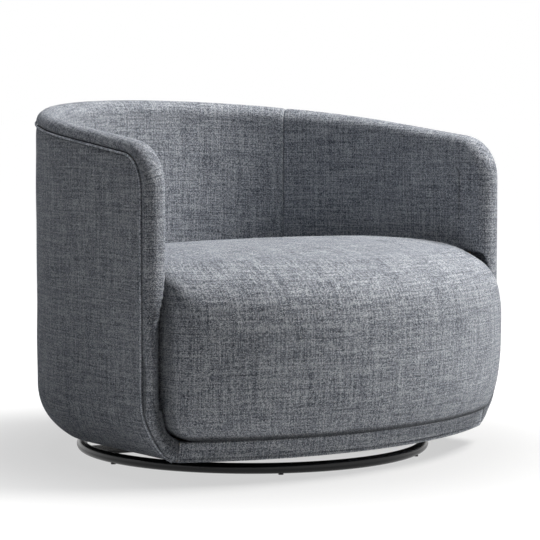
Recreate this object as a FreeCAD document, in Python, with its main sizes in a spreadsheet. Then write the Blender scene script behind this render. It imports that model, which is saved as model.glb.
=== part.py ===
import FreeCAD, Part
import Sketcher
import math
import os
from types import SimpleNamespace

V = FreeCAD.Vector
doc = FreeCAD.newDocument("SwivelChair")

# Driving dimensions, in millimetres. The floor is z = 0, the swivel axis is the Z axis,
# and the chair faces -Y.
SIZES = [
    # floor ring and cross bar
    ("ring_radius", 351), ("ring_bar_radius", 10.5), ("glide_height", 2), ("glide_radius", 5),
    ("glide_rise", 2), ("glide_count", 6), ("cross_bar_width", 80), ("cross_bar_thickness", 6),
    ("cross_bar_turn", 162), ("weld_gap", 0.05),
    # swivel bearing
    ("hub_plate_side", 190), ("hub_plate_thickness", 5), ("race_outer_radius", 106),
    ("race_bore_radius", 30), ("race_thickness", 4), ("ball_radius", 4), ("ball_count", 24),
    ("track_radius", 84), ("track_depth", 1.5), ("running_gap", 0.3), ("cage_thickness", 2),
    ("cage_width", 14), ("race_bolt_radius", 4), ("race_bolt_circle", 70), ("bolt_head_radius", 7.5),
    ("bolt_head_height", 5.3), ("hole_gap", 0.25), ("bolt_count", 4),
    ("king_bolt_radius", 6), ("king_head_radius", 11), ("king_head_height", 6.5),
    ("king_bolt_reach", 2), ("bush_wall", 2), ("bush_gap", 0.05), ("bush_flange", 1.5),
    ("bush_flange_thickness", 1.2), ("washer_radius", 14), ("washer_thickness", 2),
    ("nut_height", 8), ("nut_room", 4), ("plate_screw_radius", 3), ("plate_screw_circle", 97),
    ("plate_screw_head_radius", 5.5), ("plate_screw_head_height", 2.4), ("plate_screw_bite", 18),
    ("mounting_block_radius", 150),
    # shell plan and rim
    ("shell_radius", 441), ("arm_splay", 3.2), ("arm_front_y", 263), ("shell_thickness", 50),
    ("rim_height_at_axis", 662), ("rim_slope", 7), ("rim_corner_radius", 90), ("rim_round", 24.4),
    ("shell_bottom", 40), ("underside_radius", 115), ("underside_height", 140),
    ("underside_turn_in", 72), ("piping_drop", 25), ("piping_radius", 2.2), ("seam_angle", 41),
    # layers of the shell
    ("cover_thickness", 1.5), ("layer_gap", 0.2), ("wadding_thickness", 3), ("fibreboard", 2.5),
    ("frame_depth", 15), ("rim_foam", 27), ("rail_depth", 24), ("rib_thickness", 18),
    ("lining_offset", 38), ("pad_bottom", 398), ("band_round", 10), ("band_corner_radius", 42),
    ("seam_reach", 62), ("rib_foot", 95), ("arm_rib_setback", 150), ("rib_side_turn", 12),
    ("back_rib_count", 5),
    # floor of the shell and front rail
    ("board_thickness", 15), ("board_inset", 59), ("rail_height", 40), ("rail_bow", 117),
    ("rail_corner_inset", 53), ("rail_lean", 8), ("rail_wadding", 5),
    ("rail_board", 15), ("rail_turn_in", 40), ("dust_cover_thickness", 0.8), ("bearer_width", 45),
    ("bearer_spacing", 230), ("bearer_setback", 201), ("bolt_setback", 60),
    # seat unit
    ("seat_bottom", 82), ("seat_top", 430), ("seat_overhang", 179.5), ("seat_front_radius", 713),
    ("seat_side_offset", 44), ("seat_span", 1360), ("seat_corner_radius", 50), ("loft_degree", 2),
    ("seat_board", 12), ("seat_frame_inset", 76), ("seat_frame_board", 18), ("deck_height", 262),
    ("felt_thickness", 6), ("seat_opening_margin", 16), ("front_split_setback", 142.5),
    ("back_split_setback", 321), ("seat_bolt_radius", 4),
    # springs under the seat
    ("spring_wire_radius", 1.9), ("spring_width", 46), ("spring_pitch", 34), ("spring_side_gap", 95),
    ("spring_count", 5), ("spring_lead", 24), ("spring_grip", 10), ("clip_width", 16),
    ("clip_length", 12), ("clip_thickness", 1.5),
    ("cut_overrun", 5),
]

sheet = doc.addObject("Spreadsheet::Sheet", "Sizes")
for row, (alias, number) in enumerate(SIZES, start=1):
    sheet.set("A%d" % row, alias)
    sheet.set("B%d" % row, str(number))
    sheet.setAlias("B%d" % row, alias)
doc.recompute()


def value(expression):
    return float(sheet.evalExpression(expression))


s = SimpleNamespace(**{alias: value("Sizes." + alias) for alias, number in SIZES})

SPLAY = math.radians(s.arm_splay)
SLOPE = math.radians(s.rim_slope)
nodes = []


def bind(thing, **expressions):
    for field, expression in expressions.items():
        thing.setExpression(field.replace("__", "."), expression)
    return thing


def lift(thing, height):
    thing.setExpression(".Placement.Base.z", height)
    return thing


def cylinder(name, radius, height, base):
    piece = doc.addObject("Part::Cylinder", name)
    return lift(bind(piece, Radius=radius, Height=height), base)


def torus(name, radius, thickness, base):
    piece = doc.addObject("Part::Torus", name)
    return lift(bind(piece, Radius1=radius, Radius2=thickness), base)


def hexagon(name, radius, height, base):
    piece = doc.addObject("Part::Prism", name)
    piece.Polygon = 6
    return lift(bind(piece, Circumradius=radius, Height=height), base)


def join(name, pieces):
    fuse = doc.addObject("Part::MultiFuse", name)
    fuse.Shapes = pieces
    return fuse


def cut(name, piece, tools):
    result = doc.addObject("Part::Cut", name)
    result.Base = piece
    result.Tool = tools[0] if len(tools) == 1 else join(name + "_tools", tools)
    return result


def keep(piece, label):
    piece.Label = label
    nodes.append(piece)
    return piece


def around(name, piece, count, start):
    """Equal copies of a piece round the swivel axis, as one group of separate solids."""
    doc.recompute()
    turns = [start + 360 / count * step for step in range(int(count))]
    copies = [piece.Shape.rotated(V(0, 0, 0), V(0, 0, 1), turn) for turn in turns]
    group = doc.addObject("Part::Feature", name)
    group.Shape = Part.makeCompound(copies)
    return group


def plane_sketch(body, name, height):
    sketch = body.newObject("Sketcher::SketchObject", name)
    plane = [item for item in body.Origin.OriginFeatures if item.Role == "XY_Plane"][0]
    sketch.AttachmentSupport = (plane, [""])
    sketch.MapMode = "FlatFace"
    sketch.setExpression(".AttachmentOffset.Base.z", height)
    return sketch


def draw_circle(sketch, name, radius, distance):
    """A circle on the sketch's X axis, at a distance from its origin."""
    far = value(distance)
    ring = sketch.addGeometry(Part.Circle(V(far, 0, 0), V(0, 0, 1), value(radius)))
    sketch.addConstraint(Sketcher.Constraint("Radius", ring, value(radius)))
    sketch.renameConstraint(sketch.ConstraintCount - 1, name + "_radius")
    sketch.setExpression("Constraints." + name + "_radius", radius)
    if far == 0:
        sketch.addConstraint(Sketcher.Constraint("Coincident", ring, 3, -1, 1))
        return
    sketch.addConstraint(Sketcher.Constraint("PointOnObject", ring, 3, -1))
    sketch.addConstraint(Sketcher.Constraint("DistanceX", -1, 1, ring, 3, far))
    sketch.renameConstraint(sketch.ConstraintCount - 1, name + "_distance")
    sketch.setExpression("Constraints." + name + "_distance", distance)


def draw_rectangle(sketch, name, width, depth):
    """A rectangle centred on the sketch's origin."""
    x, y = value(width) / 2, value(depth) / 2
    corners = [V(-x, -y, 0), V(x, -y, 0), V(x, y, 0), V(-x, y, 0)]
    sides = [
        sketch.addGeometry(Part.LineSegment(corners[i], corners[(i + 1) % 4])) for i in range(4)
    ]
    for i in range(4):
        sketch.addConstraint(Sketcher.Constraint("Coincident", sides[i], 2, sides[(i + 1) % 4], 1))
        way = "Vertical" if i % 2 else "Horizontal"
        sketch.addConstraint(Sketcher.Constraint(way, sides[i]))
    sketch.addConstraint(Sketcher.Constraint("Symmetric", sides[0], 1, sides[1], 2, -1, 1))
    for way, side, length, size in (("DistanceX", 0, width, x), ("DistanceY", 1, depth, y)):
        line = sides[side]
        sketch.addConstraint(Sketcher.Constraint(way, line, 1, line, 2, 2 * size))
        sketch.renameConstraint(sketch.ConstraintCount - 1, name + "_" + way)
        sketch.setExpression("Constraints." + name + "_" + way, length)


def pad(body, name, sketch, length):
    feature = body.newObject("PartDesign::Pad", name)
    feature.Profile = sketch
    return bind(feature, Length=length)


def polar_holes(body, name, height, radius, distance, depth, count):
    """Equal holes on a circle about the axis, cut upwards from a height."""
    sketch = plane_sketch(body, name + "_sketch", height)
    draw_circle(sketch, name, radius, distance)
    pocket = body.newObject("PartDesign::Pocket", name + "_pocket")
    pocket.Profile = sketch
    pocket.Reversed = True
    bind(pocket, Length=depth)
    doc.recompute()
    pattern = body.newObject("PartDesign::PolarPattern", name + "_pattern")
    pattern.Originals = [pocket]
    pattern.Axis = (sketch, ["N_Axis"])
    pattern.Angle = 360
    bind(pattern, Occurrences=count)
    body.Tip = pattern
    return pattern


# Heights of the base and the bearing, from the floor up
RING_Z = "Sizes.glide_height + Sizes.ring_bar_radius"
BAR_Z = RING_Z + " - Sizes.cross_bar_thickness / 2"
HUB_Z = RING_Z + " + Sizes.cross_bar_thickness / 2"
LOWER_RACE_Z = HUB_Z + " + Sizes.hub_plate_thickness"
LOWER_RACE_TOP = LOWER_RACE_Z + " + Sizes.race_thickness"
BALL_REST = "(Sizes.ball_radius + Sizes.running_gap - Sizes.track_depth)"
BALL_Z = LOWER_RACE_TOP + " + " + BALL_REST
UPPER_RACE_Z = BALL_Z + " + " + BALL_REST
UPPER_RACE_TOP = UPPER_RACE_Z + " + Sizes.race_thickness"
BOARD_Z = "Sizes.shell_bottom + Sizes.cover_thickness + Sizes.layer_gap"
BOARD_TOP = BOARD_Z + " + Sizes.board_thickness"

# Floor ring: one round steel bar bent to a circle, on thin glides
ring = torus("ring_bar", "Sizes.ring_radius", "Sizes.ring_bar_radius", RING_Z)
keep(ring, "floor_ring")
glide = cylinder("glide_blank", "Sizes.glide_radius", "Sizes.glide_height + Sizes.glide_rise", "0")
bind(glide, **{".Placement.Base.x": "Sizes.ring_radius"})
saddle = torus("glide_saddle", "Sizes.ring_radius", "Sizes.ring_bar_radius + Sizes.weld_gap", RING_Z)
keep(around("glides", cut("glide", glide, [saddle]), s.glide_count, 0), "floor_glides")

# Cross bar: one broad flat bar across the ring, coped to it at both ends
bar = doc.addObject("PartDesign::Body", "bar")
bar_outline = plane_sketch(bar, "bar_outline", BAR_Z)
draw_rectangle(bar_outline, "bar", "2 * Sizes.ring_radius", "Sizes.cross_bar_width")
pad(bar, "bar_pad", bar_outline, "Sizes.cross_bar_thickness")
bar.Placement = FreeCAD.Placement(V(), FreeCAD.Rotation(V(0, 0, 1), s.cross_bar_turn))
cope = torus("bar_cope", "Sizes.ring_radius", "Sizes.ring_bar_radius + Sizes.weld_gap", RING_Z)
king_hole = cylinder("king_hole", "Sizes.king_bolt_radius + Sizes.hole_gap", "Sizes.shell_bottom", "0")
keep(cut("bar_coped", bar, [cope, king_hole]), "cross_bar")

# Hub plate: square steel plate welded over the cross bar, its bolts clear of the bar
hub_turn = s.cross_bar_turn - 180 / s.bolt_count
hub = doc.addObject("PartDesign::Body", "hub")
outline = plane_sketch(hub, "hub_outline", HUB_Z)
draw_rectangle(outline, "plate", "Sizes.hub_plate_side", "Sizes.hub_plate_side")
draw_circle(outline, "king_hole", "Sizes.king_bolt_radius + Sizes.hole_gap", "0")
pad(hub, "hub_pad", outline, "Sizes.hub_plate_thickness")
polar_holes(hub, "hub_bolt", HUB_Z, "Sizes.race_bolt_radius + Sizes.hole_gap",
            "Sizes.race_bolt_circle", "Sizes.hub_plate_thickness", "Sizes.bolt_count")
hub.Placement = FreeCAD.Placement(V(), FreeCAD.Rotation(V(0, 0, 1), hub_turn))
keep(hub, "hub_plate")

# Lower race: plate with a rolled ball track, bolted to the hub plate
track_radius = "Sizes.ball_radius + Sizes.running_gap"
race_blank = cylinder("lower_race_blank", "Sizes.race_outer_radius", "Sizes.race_thickness", LOWER_RACE_Z)
race_bore = cylinder("lower_race_bore", "Sizes.race_bore_radius", "Sizes.race_thickness", LOWER_RACE_Z)
lower_track = torus("lower_track", "Sizes.track_radius", track_radius, BALL_Z)
bolt_tool = cylinder("race_bolt_hole", "Sizes.race_bolt_radius + Sizes.hole_gap",
                     "Sizes.race_thickness", LOWER_RACE_Z)
bind(bolt_tool, **{".Placement.Base.x": "Sizes.race_bolt_circle"})
bolt_tools = around("race_bolt_holes", bolt_tool, s.bolt_count, hub_turn)
keep(cut("lower_race", race_blank, [race_bore, lower_track, bolt_tools]), "lower_race_plate")

hub_head = hexagon("hub_bolt_head", "Sizes.bolt_head_radius", "Sizes.bolt_head_height",
                   HUB_Z + " - Sizes.bolt_head_height")
hub_shank = cylinder("hub_bolt_shank", "Sizes.race_bolt_radius",
                     "Sizes.hub_plate_thickness + Sizes.race_thickness", HUB_Z)
for part_of_bolt in (hub_head, hub_shank):
    bind(part_of_bolt, **{".Placement.Base.x": "Sizes.race_bolt_circle"})
hub_bolt = join("hub_bolt", [hub_head, hub_shank])
keep(around("hub_bolt_group", hub_bolt, s.bolt_count, hub_turn), "hub_bolts")

# Ball cage: flat ring with a pocket for each ball
cage = doc.addObject("PartDesign::Body", "cage")
cage_z = BALL_Z + " - Sizes.cage_thickness / 2"
cage_sketch = plane_sketch(cage, "cage_outline", cage_z)
draw_circle(cage_sketch, "cage_rim", "Sizes.track_radius + Sizes.cage_width / 2", "0")
draw_circle(cage_sketch, "cage_bore", "Sizes.track_radius - Sizes.cage_width / 2", "0")
pad(cage, "cage_pad", cage_sketch, "Sizes.cage_thickness")
polar_holes(cage, "pocket", cage_z, "Sizes.ball_radius + Sizes.running_gap",
            "Sizes.track_radius", "Sizes.cage_thickness", "Sizes.ball_count")
keep(cage, "ball_cage")
ball = doc.addObject("Part::Sphere", "ball")
bind(lift(ball, BALL_Z), **{"Radius": "Sizes.ball_radius", ".Placement.Base.x": "Sizes.track_radius"})
keep(around("balls", ball, s.ball_count, 0), "race_balls")

# Upper race: plate that turns with the chair, with a bush on the king bolt
upper_blank = cylinder("upper_race_blank", "Sizes.race_outer_radius", "Sizes.race_thickness", UPPER_RACE_Z)
upper_track = torus("upper_track", "Sizes.track_radius", track_radius, BALL_Z)
bush_seat = cylinder("bush_seat", "Sizes.king_bolt_radius + 2 * Sizes.bush_gap + Sizes.bush_wall",
                     "Sizes.race_thickness", UPPER_RACE_Z)
screw_tool = cylinder("plate_screw_hole", "Sizes.plate_screw_radius + Sizes.hole_gap",
                      "Sizes.race_thickness", UPPER_RACE_Z)
bind(screw_tool, **{".Placement.Base.x": "Sizes.plate_screw_circle"})
screw_tools = around("plate_screw_holes", screw_tool, s.bolt_count, hub_turn)
keep(cut("upper_race", upper_blank, [upper_track, bush_seat, screw_tools]), "upper_race_plate")

bush_radius = "Sizes.king_bolt_radius + Sizes.bush_gap + Sizes.bush_wall"
bush_sleeve = cylinder("bush_sleeve", bush_radius, "Sizes.race_thickness", UPPER_RACE_Z)
bush_collar = cylinder("bush_collar", bush_radius + " + Sizes.bush_flange",
                       "Sizes.bush_flange_thickness", UPPER_RACE_TOP)
bush_bore = cylinder("bush_bore", "Sizes.king_bolt_radius + Sizes.bush_gap",
                     "Sizes.race_thickness + Sizes.bush_flange_thickness", UPPER_RACE_Z)
keep(cut("bush", join("bush_blank", [bush_sleeve, bush_collar]), [bush_bore]), "pivot_bush")

# King bolt, washer and lock nut hold the two races together
WASHER_Z = UPPER_RACE_TOP + " + Sizes.bush_flange_thickness + Sizes.running_gap"
NUT_Z = WASHER_Z + " + Sizes.washer_thickness"
king_head = hexagon("king_head", "Sizes.king_head_radius", "Sizes.king_head_height",
                    BAR_Z + " - Sizes.king_head_height")
king_shank = cylinder("king_shank", "Sizes.king_bolt_radius",
                      NUT_Z + " + Sizes.nut_height + Sizes.king_bolt_reach - (" + BAR_Z + ")", BAR_Z)
keep(join("king", [king_head, king_shank]), "king_bolt")
bolt_clearance = "Sizes.king_bolt_radius + Sizes.bush_gap"
washer_blank = cylinder("washer_blank", "Sizes.washer_radius", "Sizes.washer_thickness", WASHER_Z)
washer_hole = cylinder("washer_hole", bolt_clearance, "Sizes.washer_thickness", WASHER_Z)
keep(cut("washer", washer_blank, [washer_hole]), "thrust_washer")
nut_blank = hexagon("nut_blank", "Sizes.king_head_radius", "Sizes.nut_height", NUT_Z)
nut_hole = cylinder("nut_hole", bolt_clearance, "Sizes.nut_height", NUT_Z)
keep(cut("nut", nut_blank, [nut_hole]), "lock_nut")

# Mounting block: plywood disc between the upper race and the base board
nut_space = "Sizes.washer_radius + Sizes.nut_room"
block_height = BOARD_Z + " - (" + UPPER_RACE_TOP + ")"
pilot_depth = BOARD_TOP + " - (" + UPPER_RACE_TOP + ")"
block_blank = cylinder("block_blank", "Sizes.mounting_block_radius", block_height, UPPER_RACE_TOP)
block_bore = cylinder("block_bore", nut_space, block_height, UPPER_RACE_TOP)
pilot = cylinder("screw_pilot", "Sizes.plate_screw_radius + Sizes.hole_gap", pilot_depth, UPPER_RACE_TOP)
bind(pilot, **{".Placement.Base.x": "Sizes.plate_screw_circle"})
pilots = around("screw_pilots", pilot, s.bolt_count, hub_turn)
keep(cut("block", block_blank, [block_bore, pilots]), "mounting_block")
screw_head = cylinder("plate_screw_head", "Sizes.plate_screw_head_radius", "Sizes.plate_screw_head_height",
                      UPPER_RACE_Z + " - Sizes.plate_screw_head_height")
screw_shank = cylinder("plate_screw_shank", "Sizes.plate_screw_radius",
                       "Sizes.race_thickness + Sizes.plate_screw_bite", UPPER_RACE_Z)
for part_of_screw in (screw_head, screw_shank):
    bind(part_of_screw, **{".Placement.Base.x": "Sizes.plate_screw_circle"})
plate_screw = join("plate_screw", [screw_head, screw_shank])
keep(around("plate_screw_group", plate_screw, s.bolt_count, hub_turn), "plate_screws")


SEAT_FRONT = s.arm_front_y + s.seat_overhang
REACH = s.shell_radius + SEAT_FRONT


def place(label, shape):
    """A piece whose shape is set directly, as one node."""
    feature = doc.addObject("Part::Feature", label)
    feature.Label = label
    feature.Shape = shape
    feature.Placement = FreeCAD.Placement(V(0, 0, 0), FreeCAD.Rotation())
    nodes.append(feature)


def box(low, high):
    size = high - low
    return Part.makeBox(size.x, size.y, size.z, low)


def mirrored(shape):
    return shape.mirror(V(0, 0, 0), V(1, 0, 0))


def face_of(edges):
    return Part.Face(Part.Wire(edges))


def arm_point(offset, y):
    """A point on the right arm, this far inside the outer face."""
    along = ((s.shell_radius - offset) * math.sin(SPLAY) - y) / math.cos(SPLAY)
    return V((s.shell_radius - offset) * math.cos(SPLAY) + along * math.sin(SPLAY), y, 0)


def flip(point):
    return V(-point.x, point.y, point.z)


ARM_TIP_X = arm_point(0, -s.arm_front_y).x
SEAM_X = ARM_TIP_X - s.seam_reach


def plan_edges(offset, front_y):
    """The horseshoe plan from the right arm's tip to the left arm's tip."""
    radius = s.shell_radius - offset
    start = arm_point(offset, front_y)
    joint = V(radius * math.cos(SPLAY), radius * math.sin(SPLAY), 0)
    diagonal = radius * math.sqrt(0.5)
    back = V(0, radius, 0)
    return [
        Part.LineSegment(start, joint).toShape(),
        Part.Arc(joint, V(diagonal, diagonal, 0), back).toShape(),
        Part.Arc(back, V(-diagonal, diagonal, 0), flip(joint)).toShape(),
        Part.LineSegment(flip(joint), flip(start)).toShape(),
    ]


def raised(face, low, high):
    return face.translated(V(0, 0, low)).extrude(V(0, 0, high - low))


def wall(outer, inner, low, high, front_y=-s.arm_front_y):
    """An upright wall that follows the plan, between two offsets from the outer face."""
    tip_outer = arm_point(outer, front_y)
    tip_inner = arm_point(inner, front_y)
    edges = plan_edges(outer, front_y) + plan_edges(inner, front_y)
    edges.append(Part.LineSegment(tip_outer, tip_inner).toShape())
    edges.append(Part.LineSegment(flip(tip_outer), flip(tip_inner)).toShape())
    return raised(face_of(Part.sortEdges(edges)[0]), low, high)


def inside_plan(offset, low, high):
    """Everything inside the plan at an offset, open far to the front."""
    edges = plan_edges(offset, -REACH)
    tip = arm_point(offset, -REACH)
    edges.append(Part.LineSegment(flip(tip), tip).toShape())
    return raised(face_of(edges), low, high)


def crest(y, drop=0):
    return s.rim_height_at_axis + y * math.tan(SLOPE) - drop / math.cos(SLOPE)


def side_outline(drop):
    """Front, corner and top lines of the shell seen from the side, drawn in by a drop."""
    front_y = drop - s.arm_front_y
    radius = s.rim_corner_radius - drop
    tangent = radius * math.tan((math.pi / 2 - SLOPE) / 2)
    knee = V(0, front_y, crest(front_y, drop))
    start = knee - V(0, 0, tangent)
    end = knee + V(0, math.cos(SLOPE), math.sin(SLOPE)) * tangent
    centre = start + V(0, radius, 0)
    middle = (start - centre) + (end - centre)
    middle.normalize()
    foot = V(0, front_y, 0)
    top = V(0, REACH, crest(REACH, drop))
    return [
        Part.LineSegment(foot, start).toShape(),
        Part.Arc(start, centre + middle * radius, end).toShape(),
        Part.LineSegment(end, top).toShape(),
    ]


def below_rim(drop):
    """Everything below and behind the rim line seen from the side."""
    edges = side_outline(drop)
    back = V(0, REACH, 0)
    edges.append(Part.LineSegment(edges[-1].Vertexes[-1].Point, back).toShape())
    edges.append(Part.LineSegment(back, edges[0].Vertexes[0].Point).toShape())
    return face_of(edges).translated(V(-REACH, 0, 0)).extrude(V(2 * REACH, 0, 0))


def plan_offset(point):
    ahead = abs(point.x) * math.sin(SPLAY) - point.y * math.cos(SPLAY)
    if ahead > 0:
        return s.shell_radius - abs(point.x) * math.cos(SPLAY) - point.y * math.sin(SPLAY)
    return s.shell_radius - math.hypot(point.x, point.y)


def middle_of(edge):
    return edge.valueAt((edge.FirstParameter + edge.LastParameter) / 2)


NEAR = 1e-3


def rounded_wall(drop):
    """The padded wall above the seat, with its half round rim, drawn in by a drop."""
    far = s.shell_thickness - drop
    solid = wall(drop, far, s.pad_bottom, crest(REACH)).common(below_rim(drop))
    outline = Part.Wire(side_outline(drop))
    rim = []
    for edge in solid.Edges:
        middle = middle_of(edge)
        offset = plan_offset(middle)
        if min(abs(offset - drop), abs(offset - far)) > NEAR:
            continue
        if outline.distToShape(Part.Vertex(V(0, middle.y, middle.z)))[0] < NEAR:
            rim.append(edge)
    return solid.makeFillet(s.rim_round - drop, rim)


def underside_edges(offset, outer_x):
    """The turned-in lower edge of the shell in a section, drawn in by an offset."""
    radius = s.underside_radius - offset
    centre = V(outer_x - s.underside_radius, 0, s.underside_height)
    fall = s.underside_height - s.shell_bottom - offset
    low = centre + V(math.sqrt(radius ** 2 - fall ** 2), 0, -fall)
    side = centre + V(radius, 0, 0)
    chord = (low - centre) + (side - centre)
    chord.normalize()
    return [Part.Arc(low, centre + chord * radius, side).toShape()]


def section(offset, inner_x, top):
    """Section of the shell's outer form, from an inner line out to the offset surface."""
    arc = underside_edges(offset, s.shell_radius)[0]
    low = arc.valueAt(arc.FirstParameter)
    side = arc.valueAt(arc.LastParameter)
    if low.z > side.z:
        low, side = side, low
    corners = [side, V(side.x, 0, top), V(inner_x, 0, top), V(inner_x, 0, low.z), low]
    edges = [arc]
    for a, b in zip(corners, corners[1:]):
        edges.append(Part.LineSegment(a, b).toShape())
    return face_of(edges)


def outer_form(offset):
    """The whole shell as a solid inside its outer face, with the turned-in lower edge."""
    top = crest(REACH)
    turn = 180 - 2 * s.arm_splay
    axis = V(0, 0, 1)
    back = section(offset, 0, top)
    back.rotate(V(0, 0, 0), axis, s.arm_splay)
    back = back.revolve(V(0, 0, 0), axis, turn)
    arm = section(offset, s.shell_radius - s.underside_radius - s.board_inset, top)
    arm.rotate(V(0, 0, 0), axis, s.arm_splay)
    arm = arm.extrude(V(math.sin(SPLAY), -math.cos(SPLAY), 0) * REACH)
    return back.fuse([arm, mirrored(arm)])


def band_outline(drop):
    """Front view of the right arm below the seat, down to the corner with the front rail."""
    front = arm_point(drop, -s.arm_front_y)
    inner = arm_point(s.lining_offset - drop, -s.arm_front_y)
    arc = underside_edges(drop, arm_point(0, -s.arm_front_y).x)[0]
    low = min((arc.valueAt(arc.FirstParameter), arc.valueAt(arc.LastParameter)), key=lambda p: p.z)
    radius = s.band_corner_radius + drop
    ledge = s.shell_bottom + s.rail_height - drop
    centre = V(inner.x - radius, 0, ledge + radius)
    turn = centre + V(math.sqrt(0.5), 0, -math.sqrt(0.5)) * radius
    seam = SEAM_X
    side = V(arm_point(0, -s.arm_front_y).x - drop, 0, s.underside_height)
    reach = seam - centre.x
    meet = V(seam, 0, centre.z - math.sqrt(radius ** 2 - reach ** 2))
    bisect = (meet - centre).normalize() + V(1, 0, 0)
    bisect.normalize()
    return [
        Part.LineSegment(V(side.x, 0, s.pad_bottom), side).toShape(),
        arc,
        Part.LineSegment(low, V(seam, 0, low.z)).toShape(),
        Part.LineSegment(V(seam, 0, low.z), meet).toShape(),
        Part.Arc(meet, centre + bisect * radius, V(inner.x, 0, centre.z)).toShape(),
        Part.LineSegment(V(inner.x, 0, centre.z), V(inner.x, 0, s.pad_bottom)).toShape(),
        Part.LineSegment(V(inner.x, 0, s.pad_bottom), V(side.x, 0, s.pad_bottom)).toShape(),
    ]


def band(drop, depth):
    """The right arm's front band below the pad, rounded along both front edges."""
    front = V(0, drop - s.arm_front_y, 0)
    back = V(-math.tan(SPLAY), 1, 0) * (depth - drop)
    solid = face_of(band_outline(drop)).translated(front).extrude(back)
    outer_edges, inner_edges = [], []
    for edge in solid.Edges:
        middle = middle_of(edge)
        if abs(middle.y - front.y) > NEAR or abs(middle.z - s.pad_bottom) < NEAR:
            continue
        if middle.x < SEAM_X + NEAR or abs(middle.z - s.shell_bottom - drop) < NEAR:
            continue
        half = arm_point(s.lining_offset / 2, middle.y).x
        inner = middle.x < half
        if edge.Curve.TypeId == "Part::GeomCircle":
            inner = edge.Curve.Radius < s.underside_radius - s.band_round - s.rim_round
        (inner_edges if inner else outer_edges).append(edge)
    solid = solid.makeFillet(s.rim_round - drop, outer_edges)
    inner_edges = [e for e in solid.Edges if any(middle_of(e).isEqual(middle_of(i), NEAR) for i in inner_edges)]
    solid = solid.makeFillet(s.band_round - drop, inner_edges)
    return solid.common(box(V(SEAM_X, -REACH, 0), V(REACH, REACH, REACH)))


# Depths of the shell's layers, from the outer face inwards
fit = s.cover_thickness + s.layer_gap
fibre_start = fit + s.wadding_thickness + s.layer_gap
frame_start = fibre_start + s.fibreboard + s.layer_gap
frame_end = frame_start + s.frame_depth
rail_drop = s.rim_foam + s.cover_thickness + s.layer_gap
band_depth = s.rim_foam + s.cover_thickness + s.rail_depth
board_low = value(BOARD_Z)
board_top = value(BOARD_TOP)
frame_low = board_top + s.layer_gap
pad_low = s.pad_bottom - s.layer_gap
rail_top = s.shell_bottom + s.rail_height
foot_top = rail_top - fit
channel = s.piping_radius + s.layer_gap
lowest = -s.cut_overrun
highest = REACH * 2


def half_space(x_low, x_high, y_low, y_high, z_low=lowest, z_high=highest):
    return box(V(x_low, y_low, z_low), V(x_high, y_high, z_high))


def back_sector(gap):
    """The middle back panel's sector, between the two upright seams."""
    angle = math.radians(s.seam_angle)
    left = V(-math.cos(angle), math.sin(angle), 0) * 2 * REACH
    apex = V(0, gap / math.cos(angle), 0)
    edges = [
        Part.LineSegment(apex, flip(left) + apex).toShape(),
        Part.LineSegment(flip(left) + apex, left + apex).toShape(),
        Part.LineSegment(left + apex, apex).toShape(),
    ]
    return raised(face_of(edges), lowest, highest)


middle_panel = back_sector(s.layer_gap)
right_side = half_space(0, REACH, -REACH, REACH).cut(back_sector(0))


def place_pair(label, shape):
    place(label + "_right", shape)
    place(label + "_left", mirrored(shape))


# Covers that wrap the rim from the piping over to the inside, sewn from three panels
outer_side = outer_form(lowest).cut(outer_form(s.shell_thickness / 2))
rim_cover = rounded_wall(0).cut(rounded_wall(s.cover_thickness))
rim_cover = rim_cover.cut(outer_side.common(below_rim(s.piping_drop - channel)))
band_cover = band(0, band_depth).cut(band(s.cover_thickness, band_depth + s.cut_overrun))
band_cover = band_cover.cut(outer_side.common(below_rim(s.piping_drop - channel)))
place("inner_back_cover", rim_cover.common(middle_panel))
place_pair("arm_cover", rim_cover.common(right_side).fuse(band_cover).removeSplitter())

# Foam over the rim and down the inside, in the same three panels, and in the front bands
frame_zone = outer_form(lowest).cut(outer_form(frame_end + s.layer_gap))
frame_zone = frame_zone.common(below_rim(rail_drop - s.layer_gap))
rim_foam = rounded_wall(fit).cut(frame_zone)
place("back_foam", rim_foam.common(middle_panel))
place_pair("arm_foam", rim_foam.common(right_side))
post_foot = wall(0, s.lining_offset - s.fibreboard - s.layer_gap, frame_low, s.underside_height, -REACH)
post_foot = post_foot.fuse(wall(0, s.rib_foot, frame_low, foot_top, -REACH))
post_foot = post_foot.common(outer_form(frame_start))
post_foot = post_foot.common(half_space(0, REACH, rail_drop - s.arm_front_y, band_depth - s.arm_front_y))
band_foam = band(fit, band_depth).cut([frame_zone, post_foot])
place_pair("band_foam", band_foam.common(half_space(0, REACH, -REACH, REACH, lowest, pad_low)))

# Outer cover, with its lower edge turned in under the shell, over wadding and fibreboard
cover_front = s.piping_drop - s.arm_front_y
turned_zone = wall(lowest, s.underside_turn_in, s.shell_bottom, highest, -REACH)
outer_cover = outer_form(0).cut(outer_form(s.cover_thickness)).common(turned_zone)
place("outer_cover", outer_cover.common(below_rim(s.piping_drop + channel)))


def outer_layer(start, depth, low):
    zone = wall(0, s.rib_foot, low, highest, -REACH)
    layer = outer_form(start).cut(outer_form(start + depth)).common(zone)
    return layer.common(below_rim(rail_drop))


place("outer_wadding", outer_layer(fit, s.wadding_thickness, frame_low))
place("outer_fibreboard", outer_layer(fibre_start, s.fibreboard, frame_low))

# Piping: fabric cord in the seam, along the rim and down both front edges
piping_out = s.piping_radius - s.cover_thickness + s.layer_gap
piping_plan = s.shell_radius + piping_out
seam_y = s.piping_drop - s.arm_front_y
rim_middle = V(0, 0, crest(0, s.piping_drop))


def tangent_arc(start, way, end):
    """An arc that leaves its start in a given direction and runs to its end."""
    chord = end - start
    turn = way.getAngle(chord)
    peak = way * (chord.Length / 2 / math.cos(turn)) - chord / 2
    return Part.Arc(start, start + chord / 2 + peak * (math.tan(turn / 2) / math.tan(turn)), end).toShape()


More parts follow.
